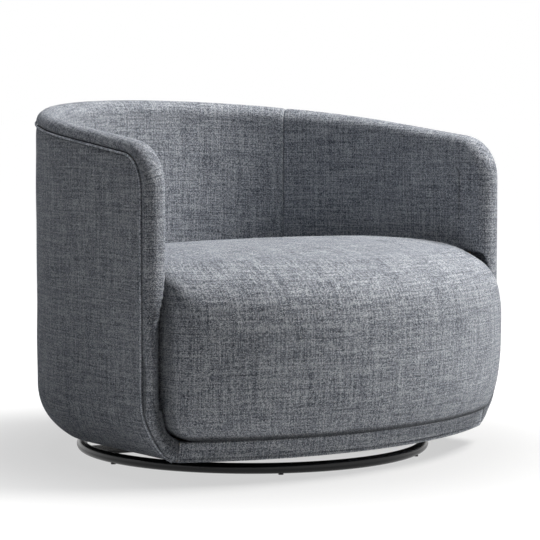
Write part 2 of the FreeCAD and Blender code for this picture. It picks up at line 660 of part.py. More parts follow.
def tangent_arcs(start, way, end, end_way):
    """Two arcs that join smoothly and meet both ends in the given directions."""
    span = end - start
    both = span.dot(way + end_way)
    bend = 2 * (1 - way.dot(end_way))
    reach = (math.sqrt(both ** 2 + bend * span.dot(span)) - both) / bend
    meet = (start + end + (way - end_way) * reach) / 2
    meet_way = end - end_way * reach - (start + way * reach)
    meet_way.normalize()
    return [tangent_arc(start, way, meet), tangent_arc(meet, meet_way, end)]


up = V(0, 0, 1)
knee = arm_point(-piping_out, seam_y) + V(0, 0, crest(seam_y, s.piping_drop))
arm_joint = V(math.cos(SPLAY), math.sin(SPLAY), math.sin(SPLAY) * math.tan(SLOPE)) * piping_plan + rim_middle
uphill = arm_joint - knee
uphill.normalize()
bend_reach = (s.rim_corner_radius - s.piping_drop) / math.tan(math.acos(-uphill.z) / 2)
bend_low = knee - up * bend_reach
bend_high = knee + uphill * bend_reach
curl_radius = s.underside_radius + piping_out
curl_fall = s.underside_height - s.shell_bottom
curl_in = curl_radius - math.sqrt(curl_radius ** 2 - curl_fall ** 2)
curl_high = V(knee.x, seam_y, s.underside_height)
curl_low = curl_high - V(curl_in, 0, curl_fall)
curl_way = V(curl_fall, 0, curl_radius - curl_in)
curl_way.normalize()
rim_back = rim_middle + V(0, piping_plan, piping_plan * math.tan(SLOPE))
side_route = [
    tangent_arc(curl_low, curl_way, curl_high),
    Part.LineSegment(curl_high, bend_low).toShape(),
    tangent_arc(bend_low, up, bend_high),
    Part.LineSegment(bend_high, arm_joint).toShape(),
] + tangent_arcs(arm_joint, uphill, rim_back, V(-1, 0, 0))
route = Part.Wire(side_route + [mirrored(edge) for edge in reversed(side_route)])
cord_end = Part.Wire(Part.makeCircle(s.piping_radius, curl_low, curl_way))
place("piping", route.makePipeShell([cord_end], True, False))

# Shell frame: bent top rail, two arm frames, ribs and the inner lining
rail_band = below_rim(rail_drop).cut(below_rim(rail_drop + s.rail_depth))
inside_shell = outer_form(frame_start).common(half_space(-REACH, REACH, -REACH, REACH, frame_low))
rim_frame = wall(frame_start, frame_end, frame_low, highest, -REACH).common(rail_band)
rim_frame = rim_frame.common(inside_shell)
split_y = s.rim_corner_radius - s.arm_front_y
place("top_rail", rim_frame.common(half_space(-REACH, REACH, split_y + s.layer_gap, REACH)))
arm_frame = rim_frame.common(half_space(0, REACH, -REACH, split_y)).fuse(post_foot).removeSplitter()
place_pair("arm_frame", arm_frame)

lining_start = s.lining_offset - s.fibreboard
lining_front = band_depth + s.layer_gap - s.arm_front_y
lining = wall(lining_start, s.lining_offset, rail_top, pad_low, lining_front)
place("inner_lining", lining)


def rib_blank(turn):
    blank = box(V(0, -s.rib_thickness / 2, lowest), V(REACH, s.rib_thickness / 2, highest))
    return blank.rotated(V(0, 0, 0), V(0, 0, 1), turn)


rib_zone = wall(frame_start, frame_end, frame_low, highest, -REACH)
rib_zone = rib_zone.fuse(wall(0, lining_start - s.layer_gap, frame_low, pad_low, -REACH))
rib_zone = rib_zone.fuse(wall(0, s.rib_foot, frame_low, foot_top, -REACH))
rib_zone = rib_zone.common(inside_shell).common(below_rim(rail_drop + s.rail_depth + s.layer_gap))
rib_turn = (180 - 2 * s.rib_side_turn) / (s.back_rib_count - 1)
turns = [s.rib_side_turn + rib_turn * step for step in range(int(s.back_rib_count))]
blanks = [rib_blank(turn) for turn in turns]
arm_rib = rib_blank(-s.arm_splay).translated(V(0, s.arm_rib_setback - s.arm_front_y, 0))
blanks += [arm_rib, mirrored(arm_rib)]
ribs = [blank.common(rib_zone) for blank in blanks]
place("shell_ribs", Part.makeCompound([solid for rib in ribs for solid in rib.Solids]))

# Front rail: a curved board with wadding and its own cover, leaning slightly out
half_chord = ARM_TIP_X - s.rail_corner_inset
rail_radius = (half_chord ** 2 + s.rail_bow ** 2) / (2 * s.rail_bow)
rail_centre_y = rail_radius - s.rail_bow - s.arm_front_y


def front_disc(offset, low, high):
    """A disc whose edge is the front rail's face, this far inside it."""
    lean = s.rail_lean / s.rail_height
    base = rail_radius - offset + lean * (low - s.shell_bottom)
    top = rail_radius - offset + lean * (high - s.shell_bottom)
    return Part.makeCone(base, top, high - low, V(0, rail_centre_y, low))


rail_zone = half_space(-SEAM_X + s.layer_gap, SEAM_X - s.layer_gap, -REACH, 0)
rail_start = fit + s.rail_wadding + s.layer_gap
rail_end = rail_start + s.rail_board


def rail_layer(start, end, low, high):
    solid = front_disc(start, low, high).cut(front_disc(end, low, high))
    return solid.common(rail_zone)


rail_cover = front_disc(0, s.shell_bottom, rail_top)
rail_cover = rail_cover.cut(front_disc(s.cover_thickness, s.shell_bottom + s.cover_thickness,
                                       rail_top - s.cover_thickness))
rail_cover = rail_cover.cut(front_disc(s.rail_turn_in, s.shell_bottom, rail_top)).common(rail_zone)
rail_cover = rail_cover.cut(wall(lowest, s.underside_turn_in + s.layer_gap, lowest, highest, cover_front))
place("front_rail_cover", rail_cover)
place("front_rail_wadding", rail_layer(fit, fit + s.rail_wadding, board_low, rail_top - fit))
place("front_rail_board", rail_layer(rail_start, rail_end, frame_low, rail_top - fit))

# Base board, dust cover, bearers and the bolts that hold the seat unit
half_length = s.shell_radius - s.bearer_setback
bolt_y = half_length - s.bolt_setback
bolt_places = [V(x * s.bearer_spacing / 2, y * bolt_y, 0) for x in (-1, 1) for y in (-1, 1)]
seat_board_low = s.seat_bottom + fit


def posts(radius, low, high):
    rods = [Part.makeCylinder(radius, high - low, place_at + V(0, 0, low)) for place_at in bolt_places]
    return Part.makeCompound(rods)


seat_bolt_holes = posts(s.seat_bolt_radius + s.hole_gap, board_low, s.deck_height)
head_rooms = posts(s.bolt_head_radius + s.hole_gap, board_low, board_low + s.bolt_head_height + s.hole_gap)
nut_room = Part.makeCylinder(value(nut_space), s.deck_height, V(0, 0, 0))
base_board = inside_plan(s.board_inset, board_low, board_top)
base_board = base_board.common(front_disc(rail_start, board_low, board_top))
corner = half_space(SEAM_X - s.layer_gap, REACH, -REACH, lining_front)
base_board = base_board.cut([corner, mirrored(corner), nut_room, seat_bolt_holes, head_rooms])
place("base_board", base_board.cut(pilots.Shape))
dust_low = board_low - s.layer_gap - s.dust_cover_thickness
dust_high = board_low - s.layer_gap
dust = inside_plan(s.underside_turn_in + s.layer_gap, dust_low, dust_high)
dust = dust.common(front_disc(s.rail_turn_in + s.layer_gap, dust_low, dust_high))
block_hole = Part.makeCylinder(s.mounting_block_radius + s.layer_gap, s.deck_height, V(0, 0, 0))
place("dust_cover", dust.cut(block_hole))
bearer_top = seat_board_low - s.layer_gap
bearers = [
    box(V(x - s.bearer_width / 2, -half_length, board_top), V(x + s.bearer_width / 2, half_length, bearer_top))
    .cut(seat_bolt_holes) for x in (-s.bearer_spacing / 2, s.bearer_spacing / 2)
]
place("seat_bearers", Part.makeCompound(bearers))
seat_board_top = seat_board_low + s.seat_board
bolts = []
for place_at in bolt_places:
    head = Part.makeCylinder(s.bolt_head_radius, s.bolt_head_height, place_at + V(0, 0, board_low))
    shank = Part.makeCylinder(s.seat_bolt_radius, seat_board_top - board_low, place_at + V(0, 0, board_low))
    bolts.append(head.fuse(shank))
place("seat_bolts", Part.makeCompound(bolts))

# Seat unit: how far its plan is drawn in at each share of its height
SEAT_SHARES = [
    (0, 0.02, 0.024), (0.03, 0.017, 0.013), (0.075, 0.0125, 0.0045), (0.13, 0.008, 0.001),
    (0.24, 0.003, -0.0015), (0.46, 0, -0.002), (0.64, 0.0015, -0.001), (0.755, 0.009, 0.001),
    (0.838, 0.026, 0.0025), (0.89, 0.048, 0.0065), (0.945, 0.079, 0.017), (0.97, 0.108, 0.036),
    (0.991, 0.152, 0.075), (1, 0.2, 0.13),
]


def seat_wire(front_inset, side_inset, corner, height):
    """The seat unit's plan: a front arc, two rounded corners, straight sides and a round back."""
    offset = s.seat_side_offset + side_inset
    front_radius = s.seat_front_radius - front_inset
    front_centre = V(0, s.seat_front_radius - SEAT_FRONT, 0)
    side_radius = s.shell_radius - offset
    joint = V(side_radius * math.cos(SPLAY), side_radius * math.sin(SPLAY), 0)
    along = V(math.sin(SPLAY), -math.cos(SPLAY), 0)
    inward = V(-math.cos(SPLAY), -math.sin(SPLAY), 0)
    base = joint + inward * corner - front_centre
    half = base.dot(along)
    run = -half + math.sqrt(half ** 2 - base.dot(base) + (front_radius - corner) ** 2)
    centre = joint + inward * corner + along * run
    side_touch = joint + along * run
    front_touch = front_centre + (centre - front_centre) * (front_radius / (front_radius - corner))
    bulge = (side_touch - centre) + (front_touch - centre)
    bulge.normalize()
    diagonal = side_radius * math.sqrt(0.5)
    middle = V(0, front_centre.y - front_radius, 0)
    back = V(0, side_radius, 0)
    knee = centre + bulge * corner
    edges = [
        Part.Arc(flip(front_touch), middle, front_touch).toShape(),
        Part.Arc(front_touch, knee, side_touch).toShape(),
        Part.LineSegment(side_touch, joint).toShape(),
        Part.Arc(joint, V(diagonal, diagonal, 0), back).toShape(),
        Part.Arc(back, V(-diagonal, diagonal, 0), flip(joint)).toShape(),
        Part.LineSegment(flip(joint), flip(side_touch)).toShape(),
        Part.Arc(flip(side_touch), flip(knee), flip(front_touch)).toShape(),
    ]
    return Part.Wire(edges).translated(V(0, 0, height))


def seat_form(drop):
    """The crowned seat unit as a loft through its plans, drawn in by a drop."""
    low = s.seat_bottom + drop
    rise = s.seat_top - s.seat_bottom - 2 * drop
    wires = []
    for share, front_share, side_share in SEAT_SHARES:
        front_inset = front_share * s.seat_span + drop
        side_inset = side_share * s.seat_span + drop
        corner = s.seat_corner_radius - drop
        wires.append(seat_wire(front_inset, side_inset, corner, low + share * rise))
    return Part.makeLoft(wires, True, False, False, int(s.loft_degree))


def seat_prism(inset, low, high):
    return Part.Face(seat_wire(inset, inset, s.seat_corner_radius, low)).extrude(V(0, 0, high - low))


seat_outer = seat_form(0)
seat_inner = seat_form(s.cover_thickness)
opening_inset = s.seat_frame_inset + s.seat_opening_margin
opening = seat_prism(opening_inset, s.seat_bottom - s.cut_overrun, s.seat_bottom + s.seat_board)
place("seat_cover", seat_outer.cut(seat_inner).cut(opening))

frame_low_z = seat_board_top
frame = seat_prism(s.seat_frame_inset, frame_low_z, s.deck_height)
frame = frame.cut(seat_prism(s.seat_frame_inset + s.seat_frame_board, frame_low_z, s.deck_height))
board = seat_prism(s.seat_frame_inset, seat_board_low, seat_board_top)
place("seat_board", board.cut(seat_bolt_holes))
front_split = s.front_split_setback - SEAT_FRONT
back_split = s.shell_radius - s.back_split_setback
place("seat_front_rail", frame.common(half_space(-REACH, REACH, -REACH, front_split)))
place("seat_back_rail", frame.common(half_space(-REACH, REACH, back_split, REACH)))
side_rail = frame.common(half_space(0, REACH, front_split + s.layer_gap, back_split - s.layer_gap))
place_pair("seat_side_rail", side_rail)

# Sinuous springs from the front rail to the back rail, held in clips
inner_inset = s.seat_frame_inset + s.seat_frame_board
back_radius = s.shell_radius - s.seat_side_offset - inner_inset
front_arc = s.seat_front_radius - inner_inset
last_spring_x = back_radius - s.spring_side_gap
front_centre_y = s.seat_front_radius - SEAT_FRONT
spring_z = s.deck_height + s.clip_thickness + s.spring_wire_radius
wire_hold = s.spring_wire_radius + s.weld_gap
clip_height = s.clip_thickness * 2 + s.spring_wire_radius * 2
springs = []
clips = []
for number in range(int(s.spring_count)):
    x = (2 * number / (s.spring_count - 1) - 1) * last_spring_x
    front_y = front_centre_y - math.sqrt(front_arc ** 2 - x ** 2)
    back_y = math.sqrt(back_radius ** 2 - x ** 2)
    bend = s.spring_pitch / 2
    half_width = s.spring_width / 2 - bend
    clear = back_y - front_y - 2 * s.spring_lead
    runs = 2 * int((clear - s.spring_pitch) / (2 * s.spring_pitch)) + 1
    lead = (back_y - front_y - (runs - 1) * s.spring_pitch) / 2 - bend
    start = V(x, front_y - s.spring_grip, spring_z)
    turn_at = V(x, front_y + lead, spring_z)
    half_turn = V(bend * (1 - math.sqrt(0.5)), bend * math.sqrt(0.5), 0)
    edges = [Part.LineSegment(start, turn_at).toShape()]
    here = turn_at + V(bend, bend, 0)
    edges.append(Part.Arc(turn_at, turn_at + half_turn, here).toShape())
    way = 1
    for run in range(runs):
        end_x = x + way * half_width if run < runs - 1 else x - way * bend
        end = V(end_x, here.y, spring_z)
        if (end - here).Length > NEAR:
            edges.append(Part.LineSegment(here, end).toShape())
        if run < runs - 1:
            after = end + V(0, s.spring_pitch, 0)
            edges.append(Part.Arc(end, end + V(way * bend, bend, 0), after).toShape())
            here = after
            way = -way
        else:
            here = end
    finish = here + V(way * bend, bend, 0)
    hop = V(way * bend * math.sqrt(0.5), bend * (1 - math.sqrt(0.5)), 0)
    edges.append(Part.Arc(here, here + hop, finish).toShape())
    edges.append(Part.LineSegment(finish, V(x, back_y + s.spring_grip, spring_z)).toShape())
    path = Part.Wire(edges)
    ring_profile = Part.Wire(Part.makeCircle(s.spring_wire_radius, start, V(0, 1, 0)))
    springs.append(path.makePipeShell([ring_profile], True, False))
    for y in (front_y - s.clip_length, back_y):
        clip = box(V(x - s.clip_width / 2, y, s.deck_height),
                   V(x + s.clip_width / 2, y + s.clip_length, s.deck_height + clip_height))
        hole = Part.makeCylinder(wire_hold, s.clip_length * 2, V(x, y - s.layer_gap, spring_z), V(0, 1, 0))
        clips.append(clip.cut(hole))
place("seat_springs", Part.makeCompound(springs))
place("spring_clips", Part.makeCompound(clips))

felt_low = s.deck_height + clip_height + s.layer_gap
felt_top = felt_low + s.felt_thickness
place("deck_felt", seat_prism(s.seat_frame_inset, felt_low, felt_top))
seat_fill = seat_form(fit)
cavity = seat_prism(s.seat_frame_inset - s.layer_gap, s.seat_bottom, felt_top + s.layer_gap)
fill = seat_fill.cut(cavity)
place("seat_border_foam", fill.common(half_space(-REACH, REACH, -REACH, REACH, lowest, felt_low)))
place("seat_foam_core", fill.common(half_space(-REACH, REACH, -REACH, REACH, felt_low + s.layer_gap)))

doc.recompute()
for thing in doc.Objects:
    if "Invalid" in thing.State or "Error" in thing.State:
        raise RuntimeError("failed object: " + thing.Label)
for node in nodes:
    shape = node.Shape
    if shape.isNull() or not shape.isValid() or not shape.Solids:
        raise RuntimeError("bad shape: " + node.Label)

os.makedirs("parts", exist_ok=True)
for node in nodes:
    node.Shape.exportStep("parts/%s.step" % node.Label)
print("%d pieces written" % len(nodes))
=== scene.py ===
import math

import bpy
import numpy as np
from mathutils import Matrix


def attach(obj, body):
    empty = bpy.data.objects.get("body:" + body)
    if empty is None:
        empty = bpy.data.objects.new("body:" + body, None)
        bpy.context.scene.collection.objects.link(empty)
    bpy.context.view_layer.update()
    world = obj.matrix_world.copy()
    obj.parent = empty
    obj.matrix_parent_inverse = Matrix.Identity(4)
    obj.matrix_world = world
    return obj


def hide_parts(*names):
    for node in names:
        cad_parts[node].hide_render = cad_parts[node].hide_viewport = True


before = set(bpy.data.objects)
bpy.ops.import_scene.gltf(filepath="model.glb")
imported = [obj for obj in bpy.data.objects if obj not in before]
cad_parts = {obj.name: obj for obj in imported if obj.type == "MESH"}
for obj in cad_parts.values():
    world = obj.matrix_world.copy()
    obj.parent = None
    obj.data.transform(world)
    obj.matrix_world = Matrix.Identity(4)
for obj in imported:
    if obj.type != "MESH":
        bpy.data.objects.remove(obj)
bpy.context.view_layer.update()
scene = bpy.context.scene

# The camera stands about four and a half metres away, to the left of the front, at
# roughly the height of the shell's rim, and looks slightly down.
camera_azimuth = math.radians(-38.85)
camera_distance = 4.5668
camera_height = 0.7066
camera_yaw = math.radians(-39.30)
camera_pitch = math.radians(4.27)
lens_data = bpy.data.cameras.new("camera")
lens_data.sensor_width = 36
lens_data.lens = 148.8
lens_data.clip_end = 200
camera = bpy.data.objects.new("camera", lens_data)
camera.location = (
    camera_distance * math.sin(camera_azimuth),
    -camera_distance * math.cos(camera_azimuth),
    camera_height,
)
camera.rotation_euler = (math.pi / 2 - camera_pitch, 0, camera_yaw)
scene.collection.objects.link(camera)
scene.camera = camera

# The studio: a white floor and room, a large soft key lamp from the upper right of the
# front, a weak one overhead and a weaker one behind on the left, and hardly any other fill.
scene.view_settings.view_transform = "Standard"


def new_material(name):
    """A material with its node tree, its shader and its output."""
    material = bpy.data.materials.new(name)
    material.use_nodes = True
    tree = material.node_tree
    shader = tree.nodes["Principled BSDF"]
    return material, tree, shader


def node(tree, kind, inputs=None, family="ShaderNode", **settings):
    """A node with its settings, and its inputs as numbers or other nodes' sockets."""
    made = tree.nodes.new(family + kind)
    for name, setting in settings.items():
        setattr(made, name, setting)
    for socket, given in (inputs or {}).items():
        if isinstance(given, bpy.types.NodeSocket):
            tree.links.new(given, made.inputs[socket])
        else:
            made.inputs[socket].default_value = given
    return made


def seen_ray(tree):
    """One for a ray that shows the background to the eye, straight, mirrored or through glass."""
    path = node(tree, "LightPath")
    either = node(tree, "Math", {0: path.outputs["Is Camera Ray"], 1: path.outputs["Is Glossy Ray"]},
                  operation="MAXIMUM")
    return node(tree, "Math", {0: either.outputs[0], 1: path.outputs["Is Transmission Ray"]},
                operation="MAXIMUM").outputs[0]


def lamp(name, place, target, size, watts, colour):
    """A round soft lamp of a diameter and a power, turned to its target."""
    light = bpy.data.lights.new(name, "AREA")
    light.shape = "DISK"
    light.size = size
    light.energy = watts
    light.color = colour
    thing = bpy.data.objects.new(name, light)
    direction = np.array(target) - np.array(place)
    flat = math.hypot(direction[0], direction[1])
    thing.location = place
    thing.rotation_euler = (math.atan2(flat, -direction[2]), 0, math.atan2(-direction[0], direction[1]))
    scene.collection.objects.link(thing)


lamp("key lamp", (1.72, -1.15, 2.95), (0, 0, 0.35), 1.5, 173, (1, 0.99, 0.97))
lamp("top lamp", (-0.1, 0.1, 3.1), (0, 0, 0.3), 2.0, 21, (0.97, 0.98, 1))
lamp("back lamp", (-2.4, 1.2, 1.8), (0, 0, 0.3), 1.2, 7, (0.97, 0.98, 1))

room = bpy.data.worlds.new("room")
room.use_nodes = True
scene.world = room
sky = room.node_tree
fill_strength = 0.01
strength = node(sky, "Mix", {0: seen_ray(sky), 2: fill_strength, 3: 1.0})
background = sky.nodes["Background"]
background.inputs["Color"].default_value = (1, 1, 1, 1)
sky.links.new(strength.outputs[0], background.inputs["Strength"])

floor_reach = 60
floor_mesh = bpy.data.meshes.new("studio_floor")
floor_mesh.from_pydata(
    [(-floor_reach, -floor_reach, 0), (floor_reach, -floor_reach, 0),
     (floor_reach, floor_reach, 0), (-floor_reach, floor_reach, 0)], [], [(0, 1, 2, 3)])
studio_floor = bpy.data.objects.new("studio_floor", floor_mesh)
scene.collection.objects.link(studio_floor)
floor_paint, tree, shader = new_material("studio floor")
floor_bounce, floor_shown = (0.7, 0.7, 0.7, 1), (0.2, 0.2, 0.2, 1)
floor_tone = node(tree, "Mix", {0: seen_ray(tree), 6: floor_bounce, 7: floor_shown}, data_type="RGBA")
tree.links.new(floor_tone.outputs[2], shader.inputs["Base Color"])
shader.inputs["Roughness"].default_value = 1
shader.inputs["Specular IOR Level"].default_value = 0
place = node(tree, "TexCoord")
away = node(tree, "VectorMath", {0: place.outputs["Object"]}, operation="LENGTH")
# Painted shadow: seen rays find the floor's glow lower within shadow_radius of the chair's middle, rising to
# full white by white_radius.
shadow_radius, white_radius = 0.42, 1.1
shadow_glow = 0.6
far_white = node(tree, "MapRange", {0: away.outputs["Value"], 1: shadow_radius, 2: white_radius,
                                    3: shadow_glow, 4: 1.0}, interpolation_type="SMOOTHSTEP")
glow = node(tree, "Math", {0: far_white.outputs[0], 1: seen_ray(tree)}, operation="MULTIPLY")
shader.inputs["Emission Color"].default_value = (1, 1, 1, 1)
tree.links.new(glow.outputs[0], shader.inputs["Emission Strength"])
floor_mesh.materials.append(floor_paint)

# The base is a round steel bar bent to a ring, one flat cross bar and a hub plate, welded
# and powder coated black, on six small nylon glides.


def paint(node_names, material):
    """Gives CAD nodes a material in place of their plain one."""
    for name in node_names:
        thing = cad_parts[name]
        for number in range(max(1, len(thing.material_slots))):
            if thing.material_slots:
                thing.material_slots[number].material = material
            else:
                thing.data.materials.append(material)


def finish_material(name, colour, roughness, metallic, grain, bump, spread=0.25):
    """A coated, cast or rolled surface: slight mottling in colour, gloss and level."""
    material, tree, shader = new_material(name)
    place = node(tree, "TexCoord")
    fine = node(tree, "TexNoise", {"Vector": place.outputs["Object"], "Scale": grain, "Detail": 3})
    broad = node(tree, "TexNoise", {"Vector": place.outputs["Object"], "Scale": 14, "Detail": 2})
    dark = tuple(c * (1 - spread) for c in colour) + (1,)
    light = tuple(min(1, c * (1 + spread)) for c in colour) + (1,)
    mix = node(tree, "Mix", {0: broad.outputs[0], 6: dark, 7: light}, data_type="RGBA")
    tree.links.new(mix.outputs[2], shader.inputs["Base Color"])
    rough = node(tree, "MapRange", {0: fine.outputs[0], 3: roughness * 0.8, 4: roughness * 1.2})
    tree.links.new(rough.outputs[0], shader.inputs["Roughness"])
    shader.inputs["Metallic"].default_value = metallic
    level = node(tree, "Bump", {"Strength": bump, "Distance": 0.0004, "Height": fine.outputs[0]})
    tree.links.new(level.outputs[0], shader.inputs["Normal"])
    return material


black_coat = finish_material("black powder coat", (0.008, 0.009, 0.011), 0.24, 0.0, 900, 0.08)
black_coat.node_tree.nodes["Principled BSDF"].inputs["Specular IOR Level"].default_value = 0.35
paint(["floor_ring", "cross_bar", "hub_plate"], black_coat)
glide_nylon = finish_material("black nylon", (0.02, 0.02, 0.022), 0.55, 0.0, 400, 0.2)
paint(["floor_glides"], glide_nylon)

# The swivel bearing: two pressed and zinc plated races with balls between them in a
# moulded cage, held together by the king bolt, its bronze bush and washer and a lock nut.
zinc = finish_material("zinc plate", (0.56, 0.57, 0.58), 0.34, 1.0, 260, 0.2)
bearing_steel = finish_material("bearing steel", (0.62, 0.63, 0.65), 0.14, 1.0, 120, 0.05, 0.08)
bronze = finish_material("sintered bronze", (0.48, 0.3, 0.14), 0.42, 1.0, 700, 0.3)
cage_plastic = finish_material("cage plastic", (0.04, 0.04, 0.045), 0.5, 0.0, 300, 0.15)
paint(["lower_race_plate", "upper_race_plate", "hub_bolts", "king_bolt", "lock_nut", "plate_screws",
       "thrust_washer", "seat_bolts"], zinc)
paint(["race_balls"], bearing_steel)
paint(["pivot_bush"], bronze)
paint(["ball_cage"], cage_plastic)

# The frame inside the upholstery: birch plywood boards, rails and ribs, and a skin of
# fibreboard, glued and stapled; the mounting block is the disc that shows above the base.


def wood_material(name, light, dark, along):
    """Plywood: long streaks of grain along one axis, and fine pores."""
    material, tree, shader = new_material(name)
    place = node(tree, "TexCoord")
    scale = tuple(3 if axis == along else 90 for axis in range(3))
    streaks = node(tree, "Mapping", {"Vector": place.outputs["Object"], "Scale": scale})
    grain = node(tree, "TexNoise", {"Vector": streaks.outputs[0], "Scale": 1.0, "Detail": 6,
                                    "Distortion": 0.4})
    mix = node(tree, "Mix", {0: grain.outputs[0], 6: light, 7: dark}, data_type="RGBA")
    tree.links.new(mix.outputs[2], shader.inputs["Base Color"])
    shader.inputs["Roughness"].default_value = 0.62
    level = node(tree, "Bump", {"Strength": 0.3, "Distance": 0.0005, "Height": grain.outputs[0]})
    tree.links.new(level.outputs[0], shader.inputs["Normal"])
    return material


birch_along = wood_material("birch plywood", (0.66, 0.49, 0.31, 1), (0.42, 0.28, 0.15, 1), 0)
birch_upright = wood_material("birch plywood upright", (0.64, 0.47, 0.3, 1), (0.4, 0.27, 0.15, 1), 2)
fibreboard = finish_material("fibreboard", (0.25, 0.16, 0.09), 0.8, 0.0, 500, 0.5)
paint(["base_board", "seat_bearers", "seat_board", "top_rail", "front_rail_board", "seat_front_rail",
       "seat_back_rail", "seat_side_rail_left", "seat_side_rail_right"], birch_along)
paint(["arm_frame_left", "arm_frame_right", "shell_ribs", "mounting_block"], birch_upright)
paint(["outer_fibreboard", "inner_lining"], fibreboard)

# Under the seat foam: wire springs in nylon clips on the seat frame, and a felt sheet on
# the springs. A black nonwoven dust cover is stapled under the base board.
spring_wire = finish_material("phosphated spring wire", (0.09, 0.09, 0.095), 0.4, 0.8, 300, 0.1)
felt = finish_material("needled felt", (0.2, 0.2, 0.21), 0.95, 0.0, 1400, 0.9, 0.5)
dust_cloth = finish_material("black dust cloth", (0.015, 0.015, 0.016), 0.9, 0.0, 1600, 0.8, 0.4)
clip_nylon = finish_material("clip nylon", (0.55, 0.55, 0.52), 0.45, 0.0, 200, 0.1)
paint(["seat_springs"], spring_wire)
paint(["spring_clips"], clip_nylon)
paint(["deck_felt"], felt)
paint(["dust_cover"], dust_cloth)

# The cover fabric of the whole chair: a blue grey plain weave with mixed light and dark
# yarns, pale thick slubs along warp and weft, and a few almost white flecks.
yarn_pitch = 0.0016
own_shade, own_rate = 0.36, 12
short_shade, short_rate = 0.68, 230
slub_shade, slub_rate = 0.5, 42


def new_group(name, kind, given, results):
    """A node group with the sockets it is given and gives back, and its two end nodes."""
    group = bpy.data.node_groups.new(name, kind)
    for way, sockets in (("INPUT", given), ("OUTPUT", results)):
        for socket, signal in sockets.items():
            group.interface.new_socket(socket, in_out=way, socket_type="NodeSocket" + signal)
    return group, group.nodes.new("NodeGroupInput"), group.nodes.new("NodeGroupOutput")


def fabric_group():
    """The weave as a node group: from a place on the cloth, in metres, to tone, fleck and level."""
    group, begin, end = new_group("slub weave", "ShaderNodeTree", {"Cloth": "Vector"},
                                  {"Tone": "Float", "Fleck": "Float", "Level": "Float"})

    def maths(operation, a, b=0.0):
        return node(group, "Math", {0: a, 1: b}, operation=operation).outputs[0]

    def remap(signal, low, high, start, finish):
        return node(group, "MapRange", {0: signal, 1: low, 2: high, 3: start, 4: finish}).outputs[0]

    def noise(x, y, z, detail):
        place = node(group, "CombineXYZ", {0: x, 1: y, 2: z}).outputs[0]
        return node(group, "TexNoise", {"Vector": place, "Scale": 1.0, "Detail": detail}).outputs[0]

    def scaled_noise(x, x_scale, y, y_scale, z, detail):
        return noise(maths("MULTIPLY", x, x_scale), maths("MULTIPLY", y, y_scale), z, detail)

    def yarn_tone(run, number, shift):
        """Tone of a yarn along its run: its own shade, changes of a few millimetres, and pale slubs."""
        own = remap(scaled_noise(run, own_rate, number, 7.13, shift, 0.0), 0.25, 0.75, -own_shade, own_shade)
        short = remap(scaled_noise(run, short_rate, number, 3.71, shift, 1.0),
                      0.25, 0.75, -short_shade, short_shade)
        thick = remap(scaled_noise(run, slub_rate, number, 5.37, shift + 9, 0.0), 0.7, 0.78, 0, slub_shade)
        return maths("ADD", maths("ADD", own, short), thick)

    split = node(group, "SeparateXYZ", {0: begin.outputs[0]})
    across = maths("DIVIDE", split.outputs[0], yarn_pitch)
    upward = maths("DIVIDE", split.outputs[1], yarn_pitch)
    end_number, pick_number = maths("FLOOR", across), maths("FLOOR", upward)
    warp = yarn_tone(split.outputs[1], end_number, 3.0)
    weft = yarn_tone(split.outputs[0], pick_number, 40.0)
    over = maths("FLOORED_MODULO", maths("ADD", end_number, pick_number), 2.0)
    yarn_top = node(group, "Mix", {0: over, 2: maths("ADD", weft, 0.07), 3: warp}).outputs[0]
    mottle = remap(scaled_noise(across, 0.05, upward, 0.07, 11.0, 2.0), 0.3, 0.7, -0.05, 0.05)
    tone = maths("ADD", maths("ADD", yarn_top, mottle), 0.5)
    fleck = remap(scaled_noise(across, 0.21, upward, 0.62, 31.0, 1.0), 0.74, 0.79, 0, 1)
    round_warp = maths("ABSOLUTE", maths("SINE", maths("MULTIPLY", across, math.pi)))
    round_weft = maths("ABSOLUTE", maths("SINE", maths("MULTIPLY", upward, math.pi)))
    yarn_round = node(group, "Mix", {0: over, 2: round_weft, 3: round_warp}).outputs[0]
    level = maths("ADD", maths("MULTIPLY", yarn_round, 0.5), maths("MULTIPLY", tone, 0.5))
    group.links.new(tone, end.inputs["Tone"])
    group.links.new(fleck, end.inputs["Fleck"])
    group.links.new(level, end.inputs["Level"])
    return group


weave = fabric_group()
yarn_dark = (0.045, 0.05, 0.062, 1)
yarn_middle = (0.2, 0.217, 0.25, 1)
yarn_light = (0.6, 0.62, 0.655, 1)
fleck_colour = (0.8, 0.8, 0.8, 1)


